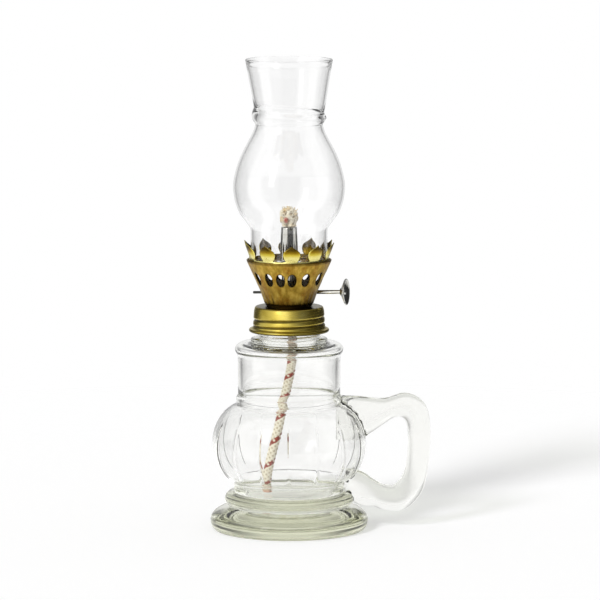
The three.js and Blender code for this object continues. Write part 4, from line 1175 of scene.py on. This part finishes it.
def petal_place(middle, twist):
    """The rule of one leaf, which stands on the band, is cupped across and flares to its tip."""
    def place(u, v):
        side = 2 * u - 1
        half = PETAL_WIDTH / 2 * petal_widths[round(v * PETAL_ROWS)][0]
        lean = PETAL_FLARE * (0.3 * v + 0.7 * v * v)
        cup = PETAL_CUP * (1 - side * side) * math.sin(math.pi * v)
        radius = band_radius + lean + cup * smooth(0, 0.2, v)
        degrees = middle + math.degrees(side * half / band_radius) + twist * v * v
        return polar(radius, degrees, band_high + v * petal_height)
    return place


def band_place(low, high):
    """The rule of a stretch of the band between two angles."""
    def place(u, v):
        return polar(band_radius, low + u * (high - low), CROWN_LOW.z + v * (band_high - CROWN_LOW.z))
    return place


def petal_heat_and_painted_shade(u, v):
    """Heat tint and painted shade deepen toward the tip of a leaf; its sheared edges stay bright, partly as a
    painted highlight.
    """
    return smooth(0.15, 0.95, v) * (1 - 0.85 * smooth(0.82, 1.0, abs(2 * u - 1)))


random.seed(7)
crown_mesh = sheet_mesh()
for n in range(PETALS):
    middle = PETAL_START + n * pitch
    twist = random.uniform(-PETAL_TWIST, PETAL_TWIST)
    grid(crown_mesh, PETAL_COLUMNS, PETAL_ROWS, petal_place(middle, twist), mark=petal_heat_and_painted_shade)
    grid(crown_mesh, PETAL_COLUMNS, BAND_ROWS, band_place(middle - base_half, middle + base_half))
    grid(crown_mesh, GAP_COLUMNS, BAND_ROWS, band_place(middle + base_half, middle + pitch - base_half))

crown = made_object("spring_crown", facing_out(crown_mesh), crown_brass, sharp=50)
crown.data.materials.append(sooted_brass)
thickened(crown, CROWN_SHEET, lining=1)
fitted(crown, "burner", "crown_brass", "petal_crown")

# %% [markdown]
# The wick tube tapers toward its mouth. It is spun like the ferrule, from a base that is
# flanged onto the plate up to a rolled edge.

# %% Wick tube
TUBE_LOW, TUBE_HIGH = box("wick_tube")
TUBE_BORE, TUBE_MOUTH, TUBE_BASE, TUBE_STEM = 2.65, 3.7, 4.25, 3.4
PLATE_TOP = box("air_plate")[1].z
flange = PLATE_TOP + 0.3
tube_outline = [
    (TUBE_BORE, TUBE_LOW.z), (TUBE_STEM, TUBE_LOW.z),
    (TUBE_STEM, bead_low - 1.2), (TUBE_STEM + 1.6, bead_low - 1.2),
    (TUBE_STEM + 1.6, bead_low - 0.8), (TUBE_STEM, bead_low - 0.8),
    (TUBE_STEM, flange), (TUBE_BASE + 1.5, flange),
    *arc((TUBE_BASE + 1.4, flange + 0.2), 0.2, 0.2, -90, 90, 4),
    *arc((TUBE_BASE + 1.3, flange + 1.7), 1.2, 1.3, -90, -170, 6),
    *straight((TUBE_BASE, flange + 2.2), (TUBE_MOUTH, TUBE_HIGH.z - 0.5), 8),
    *arc((TUBE_MOUTH - 0.4, TUBE_HIGH.z - 0.4), 0.4, 0.4, 0, 90, 6),
    *arc((TUBE_BORE + 0.25, TUBE_HIGH.z - 0.25), 0.25, 0.25, 90, 180, 4),
]
tube = made_object("tapered_wick_tube", spun(tube_outline, 96), steel, sharp=50)
fitted(tube, "burner", "plated_steel", "wick_tube")

# %% [markdown]
# The winder's shaft runs across the burner a little askew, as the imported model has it, so its
# place and direction come from the hinge there. Shaft and knob are spun upright and then laid
# along it. The knob is a dished disc with a rolled rim, riveted on the shaft's end. The stub
# on the left has gone black with oil and soot.

# %% Winder shaft and knob
hinge = next(joint for joint in frame["record"]["behaviour"]["joints"] if joint["name"] == "winder_turn")
axis = Vector(hinge["axis"]).normalized()
winder_place = Matrix.Translation(Vector(hinge["pos_m"])) @ axis.to_track_quat("Z", "Y").to_matrix().to_4x4()
SHAFT_RADIUS, STUB_RADIUS, STUB_END, STUB_STEP, SHAFT_END = 0.95, 0.62, -18.8, -10.2, 24.5
KNOB_RADIUS, KNOB_HUB, KNOB_DEPTH, KNOB_HUB_DEPTH = 6.2, 1.9, 3.0, 1.2
KNOB_ROLL, KNOB_DISH, BOSS_RADIUS, BOSS_HEIGHT = 0.28, 1.0, 1.35, 0.75
shaft_outline = [
    (0, STUB_END), (STUB_RADIUS - 0.15, STUB_END), (STUB_RADIUS, STUB_END + 0.2),
    (STUB_RADIUS, STUB_STEP - 0.1), (SHAFT_RADIUS, STUB_STEP),
    *straight((SHAFT_RADIUS, STUB_STEP + 0.5), (SHAFT_RADIUS, SHAFT_END - 0.15), 6),
    (SHAFT_RADIUS, SHAFT_END - 0.1), (SHAFT_RADIUS - 0.1, SHAFT_END), (0, SHAFT_END),
]
knob_back = SHAFT_END - KNOB_HUB_DEPTH
knob_rim = knob_back + KNOB_DEPTH
rim_round = (KNOB_RADIUS - KNOB_ROLL, knob_rim - KNOB_ROLL)
dish = knob_rim - KNOB_DISH
knob_outline = [
    (0, SHAFT_END + 0.3), (SHAFT_RADIUS + 0.3, SHAFT_END + 0.3), (SHAFT_RADIUS + 0.3, knob_back),
    (KNOB_HUB - 0.2, knob_back), (KNOB_HUB, knob_back + 0.2),
    *through([(KNOB_HUB + 0.1, knob_back + 0.5), (KNOB_HUB + 1.6, knob_back + 1.15),
              (KNOB_RADIUS - 1.0, knob_rim - 1.0), (KNOB_RADIUS - 0.12, knob_rim - 0.62)], 14),
    *arc(rim_round, KNOB_ROLL, KNOB_ROLL, -50, 150, 12),
    *through([(KNOB_RADIUS - 0.9, knob_rim - 0.45), (KNOB_RADIUS - 2.4, dish + 0.05),
              (KNOB_HUB + 0.7, dish - 0.1), (KNOB_HUB - 0.3, dish - 0.1)], 14),
    *arc((0, dish - 0.12), BOSS_RADIUS, BOSS_HEIGHT, 8, 90, 7),
]


def along_shaft(name, outline, steps):
    """A spun piece laid along the winder's axis."""
    mesh = spun(outline, steps, ring=False)
    bmesh.ops.transform(mesh, matrix=winder_place, verts=mesh.verts)
    return made_object(name, mesh, steel, sharp=40)


shaft = along_shaft("winder_spindle", shaft_outline, 40)
marked(shaft, lambda radius, degrees, height: 0.92 if degrees < 0 else 0.0)
fitted(shaft, "winder", "plated_steel", "winder_shaft")
knob = along_shaft("dished_knob", knob_outline, 96)
fitted(knob, "winder", "plated_steel", "winder_knob")

# %% [markdown]
# Above the tube the cord has burst into a tuft, as a cut cotton wick does once it has been
# trimmed and singed. A tuft reads as cotton only if its outline is ragged, so it is a lumpy
# core with yarn ends on it: short tubes that come out between the lumps and end in the air.
# Random numbers with a fixed seed give each its own path.

# %% Wick and its frayed head
WICK_LOW, WICK_HIGH = box("wick")
HEAD_LOW = TUBE_HIGH.z + 0.1
HEAD_RADIUS, HEAD_REACH = 4.1, 4.4
HEAD_SHARES = [
    (0, 0), (0.7, 0.01), (0.82, 0.18), (0.95, 0.4), (1, 0.62),
    (0.93, 0.8), (0.68, 0.92), (0.35, 0.98), (0, 1),
]
HEAD_ROWS, HEAD_COLUMNS = 48, 80
HEAD_ABOVE = 1.3
HEAD_HEIGHT = WICK_HIGH.z - HEAD_LOW - HEAD_ABOVE
STEM_SIDES, STEM_ROWS = 24, 60
LUMP_MM, LUMP_SHARE = 1.9, 0.3
YARNS, YARN_STEPS, YARN_SIDES, YARN_RADIUS = 90, 10, 6, 0.3
RED_SPOT = Vector((-1.3, -3.6, HEAD_LOW + 0.36 * HEAD_HEIGHT))
SPOT_CORE, SPOT_EDGE = 0.7, 1.6
head_profile = through(HEAD_SHARES, HEAD_ROWS)
random.seed(11)


def stem_place(u, v):
    """The braided cord inside the tube."""
    height = WICK_LOW.z + v * (HEAD_LOW + 1 - WICK_LOW.z)
    relief = STRAND_RELIEF * (strand_height(u, -height / BRAID_PITCH_MM) - STRAND_MIDDLE)
    return polar(WICK_RADIUS - 0.1 + relief, 360 * u, height)


def lump(place):
    """Strand ends side by side: high in the middle of a strand end, low between two."""
    return noise.noise(place / LUMP_MM) + 0.45 * noise.noise(place / LUMP_MM * 2.3)


def head_place(u, v):
    """The core of the tuft, narrow at the mouth, widest above its middle and flat on top."""
    out, up = head_profile[round(v * HEAD_ROWS)]
    place = polar(HEAD_RADIUS * out, 360 * u, HEAD_LOW + HEAD_HEIGHT * up)
    swell = LUMP_SHARE * lump(place)
    radius = min(HEAD_REACH, HEAD_RADIUS * out * (1 + swell))
    return polar(radius, 360 * u, HEAD_LOW + HEAD_HEIGHT * up * (1 + 0.35 * swell))


def head_painted_shade(u, v):
    """Painted shade between the strand ends, where the lumps dip."""
    out, up = head_profile[round(v * HEAD_ROWS)]
    return 0.85 * smooth(0.05, -0.45, lump(polar(HEAD_RADIUS * out, 360 * u, HEAD_LOW + HEAD_HEIGHT * up)))


def yarn_route():
    """A yarn end that comes out of the tuft and ends in the air beside it."""
    foot = head_place(random.random(), random.uniform(0.3, 0.96))
    outward = (foot - Vector((0, 0, HEAD_LOW + 0.3 * HEAD_HEIGHT))).normalized()
    side = outward.cross(Vector((0, 0, 1))) * random.uniform(-1.3, 1.3)
    side += Vector((0, 0, random.uniform(-0.9, 0.6)))
    reach = random.uniform(0.3, 1.1)
    points = []
    for share in (-0.8, 0.0, 0.5, 1.0):
        x, y, z = foot + outward * reach * share + side * share * abs(share)
        out = min(1.0, (HEAD_REACH - YARN_RADIUS) / max(math.hypot(x, y), YARN_RADIUS))
        points.append((x * out, y * out, max(HEAD_LOW + YARN_RADIUS, min(z, WICK_HIGH.z - YARN_RADIUS))))
    return through(points, YARN_STEPS)


def yarn_place(route, thickness):
    """Lays a thin tube along a yarn's route."""
    def place(u, v):
        step = round(v * YARN_STEPS)
        here = Vector(route[step])
        along = Vector(route[min(step + 1, YARN_STEPS)]) - Vector(route[max(step - 1, 0)])
        side = along.cross(Vector((0.3, 0.2, 1))).normalized()
        front = side.cross(along).normalized()
        radius = thickness * (1 - 0.55 * v * v)
        return here + radius * (math.cos(TURN * u) * side + math.sin(TURN * u) * front)
    return place


def yarn_shade(dirt):
    """Some yarns are darker than others, and all are paler toward their free end."""
    return lambda u, v: max(0.0, dirt) * (1 - 0.6 * v)


wick_mesh = sheet_mesh()
grid(wick_mesh, STEM_SIDES, STEM_ROWS, stem_place)
grid(wick_mesh, HEAD_COLUMNS, HEAD_ROWS, head_place, mark=head_painted_shade)
for _ in range(YARNS):
    grid(wick_mesh, YARN_SIDES, YARN_STEPS, yarn_place(yarn_route(), YARN_RADIUS * random.uniform(0.6, 1.25)),
         mark=yarn_shade(random.uniform(-0.3, 0.55)))


def frayed_cotton(name):
    """The same cotton, singed a little, with the tracer yarn's red low on the left."""
    finish, tree, output = blank_finish(name)
    place = add(tree, "ShaderNodeTexCoord").outputs["Object"]
    fibre = add(tree, "ShaderNodeTexNoise", {
        "Vector": place, "Scale": per_mm(YARN_MM), "Detail": 4.0, "Roughness": 0.7})
    cloud = add(tree, "ShaderNodeTexNoise", {"Vector": place, "Scale": per_mm(2.4), "Detail": 3.0})
    cream = add(tree, "ShaderNodeValToRGB", {"Fac": fibre.outputs["Fac"]}, stops=[
        (0.3, colour("cfc2a3")), (0.52, colour("f1e9d8")), (0.75, colour("fdf9f0"))])
    warm = add(tree, "ShaderNodeValToRGB", {"Fac": cloud.outputs["Fac"]}, stops=[
        (0.45, colour("ffffff")), (0.72, colour("ecd3a6"))])
    undyed = add(tree, "ShaderNodeMix", {
        0: 1.0, 6: cream.outputs["Color"], 7: warm.outputs["Color"]}, data_type="RGBA", blend_type="MULTIPLY")
    away = add(tree, "ShaderNodeVectorMath", {0: place, 1: RED_SPOT * MM}, operation="DISTANCE")
    spot = add(tree, "ShaderNodeMapRange", {
        "Value": away.outputs["Value"], "From Min": SPOT_CORE * MM, "From Max": SPOT_EDGE * MM,
        "To Min": 1.0, "To Max": 0.0})
    reddened = add(tree, "ShaderNodeMix", {
        0: spot.outputs["Result"], 6: undyed.outputs[2], 7: colour("b4401c")}, data_type="RGBA")
    # painted shade between the strand ends, and darker yarns, from the mesh's marks
    shade = mixed_dirt_and_shade(tree, reddened.outputs[2], "7a6238")
    cotton_skin(tree, output, shade, fibre.outputs["Fac"])
    return finish


head = made_object("frayed_wick", closed_ends(wick_mesh), frayed_cotton("frayed_cotton"))
fitted(head, "wick", "wick_cotton", "wick")

# %% [markdown]
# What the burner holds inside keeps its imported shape: the air plate, the wheel with its box,
# and the seal. Each only needs its finish, which reads object coordinates and so needs no UV.

# %% Finishes of the inner pieces
def pressed_cork(name):
    """Cork crumbs bound with rubber: dull brown with pale and dark grains."""
    finish, tree, output = blank_finish(name)
    grains = add(tree, "ShaderNodeTexVoronoi", {"Vector": stretched(tree, 1, 1, 1), "Scale": per_mm(0.6)})
    shade = add(tree, "ShaderNodeValToRGB", {"Fac": grains.outputs["Distance"]}, stops=[
        (0.1, colour("a98256")), (0.45, colour("8a6440")), (0.8, colour("4e3522"))])
    bump = add(tree, "ShaderNodeBump", {
        "Height": grains.outputs["Distance"], "Strength": 0.5, "Distance": 0.1 * MM})
    shader = add(tree, "ShaderNodeBsdfPrincipled", {
        "Base Color": shade.outputs["Color"], "Normal": bump.outputs["Normal"], "Roughness": 0.85})
    tree.links.new(shader.outputs["BSDF"], output.inputs["Surface"])
    return finish


inner_finishes = {
    "air_plate": old_brass, "wheel_box": steel, "spur_wheel": steel,
    "collar_seal": pressed_cork("pressed_cork"),
}
for node, finish in inner_finishes.items():
    slots = frame["nodes"][node].material_slots
    for place in slots:
        place.material = finish
    print(node, "is", finish.name)

# %% [markdown]
# The lamp stands on a plain white floor in a white room. A low sun from the front left casts
# the shadow, and one tall soft lamp beside it makes the highlights. Glass shows only what it
# bends into view, and polished metal only what it mirrors, so what a ray finds in the room
# depends on how it got there. Off metal it finds dark sides, which draw the dark bands in the
# brass. Off the skin of the glass it finds an even grey. A ray that was mirrored and then
# left through glass, as those off the wick tube do, finds bands of its own. A ray that only
# went through glass finds white but for two narrow grey screens behind the lamp, which draw
# the edges of the glass. The floor is white to the eye but still takes the shadow.

# %% Floor
TABLE_RADIUS, TABLE_FADE, TABLE_EDGE = 0.6, 0.38, 0.01
GLOW = 0.35
floor_mesh = bmesh.new()
bmesh.ops.create_circle(floor_mesh, cap_ends=True, segments=96, radius=TABLE_RADIUS)
floor_finish, floor_tree, floor_output = blank_finish("white_table")
paint = add(floor_tree, "ShaderNodeBsdfDiffuse", {"Color": colour("e6e6e6")})
glow = add(floor_tree, "ShaderNodeEmission", {"Color": colour("ffffff"), "Strength": GLOW})
dark = add(floor_tree, "ShaderNodeEmission", {"Color": colour("ffffff"), "Strength": 0.0})
floor_rays = add(floor_tree, "ShaderNodeLightPath")
eye_or_mirror = add(floor_tree, "ShaderNodeMath", {
    0: floor_rays.outputs["Is Camera Ray"], 1: floor_rays.outputs["Is Glossy Ray"]}, operation="MAXIMUM")
eye_mirror_or_glass = add(floor_tree, "ShaderNodeMath", {
    0: eye_or_mirror.outputs[0], 1: floor_rays.outputs["Is Transmission Ray"]}, operation="MAXIMUM")
shown = add(floor_tree, "ShaderNodeMixShader", {
    0: eye_mirror_or_glass.outputs[0], 1: dark.outputs["Emission"], 2: glow.outputs["Emission"]})
both = add(floor_tree, "ShaderNodeAddShader", {0: paint.outputs["BSDF"], 1: shown.outputs["Shader"]})
spot = add(floor_tree, "ShaderNodeVectorMath", {
    0: add(floor_tree, "ShaderNodeTexCoord").outputs["Object"]}, operation="LENGTH")
faded = add(floor_tree, "ShaderNodeMapRange", {
    "Value": spot.outputs["Value"], "From Min": TABLE_RADIUS - TABLE_FADE,
    "From Max": TABLE_RADIUS - TABLE_EDGE}, interpolation_type="SMOOTHSTEP")
beyond = add(floor_tree, "ShaderNodeBsdfTransparent", {"Color": colour("ffffff")})
table = add(floor_tree, "ShaderNodeMixShader", {
    0: faded.outputs["Result"], 1: both.outputs["Shader"], 2: beyond.outputs["BSDF"]})
floor_tree.links.new(table.outputs["Shader"], floor_output.inputs["Surface"])
floor = made_object("floor", floor_mesh, floor_finish)

# %% Room light
ROOM_STRENGTH = 0.43
SKIN, HIGH_UP, HIGH_FROM, HIGH_TO = 0.75, 0.4, 0.55, 0.85
MIRRORED = [
    (-180, 0.75), (-162, 0.45), (-146, 0.1), (-118, 0.1), (-104, 0.8), (-60, 1.3), (-42, 2.0), (-12, 1.9),
    (10, 0.75), (36, 0.24), (64, 0.13), (90, 0.07), (110, 0.04), (150, 0.04), (164, 0.4), (180, 0.75),
]
INSIDE = [
    (-180, 1.0), (-168, 0.92), (-158, 0.6), (-146, 0.25), (-124, 0.04), (-104, 0.06), (-92, 1.3), (-30, 1.3),
    (-20, 0.08), (58, 0.05), (68, 1.1), (100, 1.1), (108, 0.05), (124, 0.04), (146, 0.25), (158, 0.6),
    (168, 0.92), (180, 1.0),
]
REFRACTED = [
    (-180, 1.0), (-170, 1.0), (-160, 0.72), (-152, 0.5), (-145, 0.7), (-137, 1.0), (137, 1.0), (145, 0.7),
    (152, 0.5), (160, 0.72), (170, 1.0), (180, 1.0),
]


def grey(value):
    """A grey of that linear brightness, which may be above 1."""
    return (value, value, value, 1.0)


def round_room(tree, azimuth, stops):
    """The brightness of the room by the angle round the lamp, in degrees from the front."""
    shades = [((degrees + 180) / 360, grey(value)) for degrees, value in stops]
    return add(tree, "ShaderNodeValToRGB", {"Fac": azimuth}, stops=shades).outputs["Color"]


world = bpy.data.worlds.new("studio")
bpy.context.scene.world = world
world.use_nodes = True
room = world.node_tree
room.nodes.clear()
toward = add(room, "ShaderNodeSeparateXYZ", {"Vector": add(room, "ShaderNodeTexCoord").outputs["Generated"]})
front = add(room, "ShaderNodeMath", {0: toward.outputs["Y"], 1: -1.0}, operation="MULTIPLY")
angle = add(room, "ShaderNodeMath", {0: toward.outputs["X"], 1: front.outputs[0]}, operation="ARCTAN2")
azimuth = add(room, "ShaderNodeMapRange", {
    "Value": angle.outputs[0], "From Min": -math.pi, "From Max": math.pi})
rays = add(room, "ShaderNodeLightPath")
mirrored = round_room(room, azimuth.outputs["Result"], MIRRORED)
inside_room = round_room(room, azimuth.outputs["Result"], INSIDE)
refracted = round_room(room, azimuth.outputs["Result"], REFRACTED)
high = add(room, "ShaderNodeMapRange", {
    "Value": toward.outputs["Z"], "From Min": HIGH_FROM, "From Max": HIGH_TO})
lit = add(room, "ShaderNodeMix", {0: high.outputs["Result"], 6: mirrored, 7: grey(HIGH_UP)}, data_type="RGBA")
through = rays.outputs["Is Transmission Ray"]
off_metal = add(room, "ShaderNodeMath", {0: rays.outputs["Is Glossy Ray"], 1: through}, operation="SUBTRACT")
off_glass = add(room, "ShaderNodeMath", {
    0: rays.outputs["Is Singular Ray"], 1: through}, operation="SUBTRACT")
shades = (
    (through, refracted),
    (rays.outputs["Glossy Depth"], inside_room),
    (off_metal.outputs[0], lit.outputs[2]),
    (off_glass.outputs[0], grey(SKIN)),
    (rays.outputs["Is Camera Ray"], grey(1.0)),
)
room_shade = grey(ROOM_STRENGTH)
for share, shade in shades:
    room_shade = add(room, "ShaderNodeMix", {0: share, 6: room_shade, 7: shade}, data_type="RGBA").outputs[2]
sky = add(room, "ShaderNodeBackground", {"Color": room_shade, "Strength": 1.0})
add(room, "ShaderNodeOutputWorld", {"Surface": sky.outputs["Background"]})
print("room finds", len(shades), "kinds of ray")


# %% Soft lamp
def soft_lamp(name, azimuth_degrees, elevation, distance, width, height, watts):
    """A rectangular soft lamp that looks at the middle of the object."""
    data = bpy.data.lights.new(name, "AREA")
    data.shape = "RECTANGLE"
    data.size = width
    data.size_y = height
    data.energy = watts
    lamp = bpy.data.objects.new(name, data)
    bpy.context.scene.collection.objects.link(lamp)
    up = math.radians(elevation)
    away = polar(distance * math.cos(up), azimuth_degrees, distance * math.sin(up))
    middle = Vector((0, 0, CAD_HIGH.z / 2))
    lamp.location = middle + away
    lamp.rotation_euler = (-away).to_track_quat("-Z", "Y").to_euler()
    return lamp


window = soft_lamp("window_highlight", azimuth_degrees=-38, elevation=24, distance=1.5,
                   width=0.3, height=0.8, watts=1.3)
window.visible_diffuse = False

# %% Key light
KEY_AZIMUTH, KEY_ELEVATION = -34, 32
KEY_STRENGTH, KEY_WIDTH = 2.3, 14
key_data = bpy.data.lights.new("key", "SUN")
key_data.energy = KEY_STRENGTH
key_data.angle = math.radians(KEY_WIDTH)
key = bpy.data.objects.new("key", key_data)
bpy.context.scene.collection.objects.link(key)
rise = math.radians(KEY_ELEVATION)
key_from = polar(math.cos(rise), KEY_AZIMUTH, math.sin(rise))
key.rotation_euler = (-key_from).to_track_quat("-Z", "Y").to_euler()
key.visible_glossy = False
key.visible_transmission = False

# %% Light paths
cycles = bpy.context.scene.cycles
cycles.max_bounces = 24
cycles.transmission_bounces = 24
cycles.transparent_max_bounces = 24
cycles.glossy_bounces = 8
print("bounces", cycles.max_bounces)
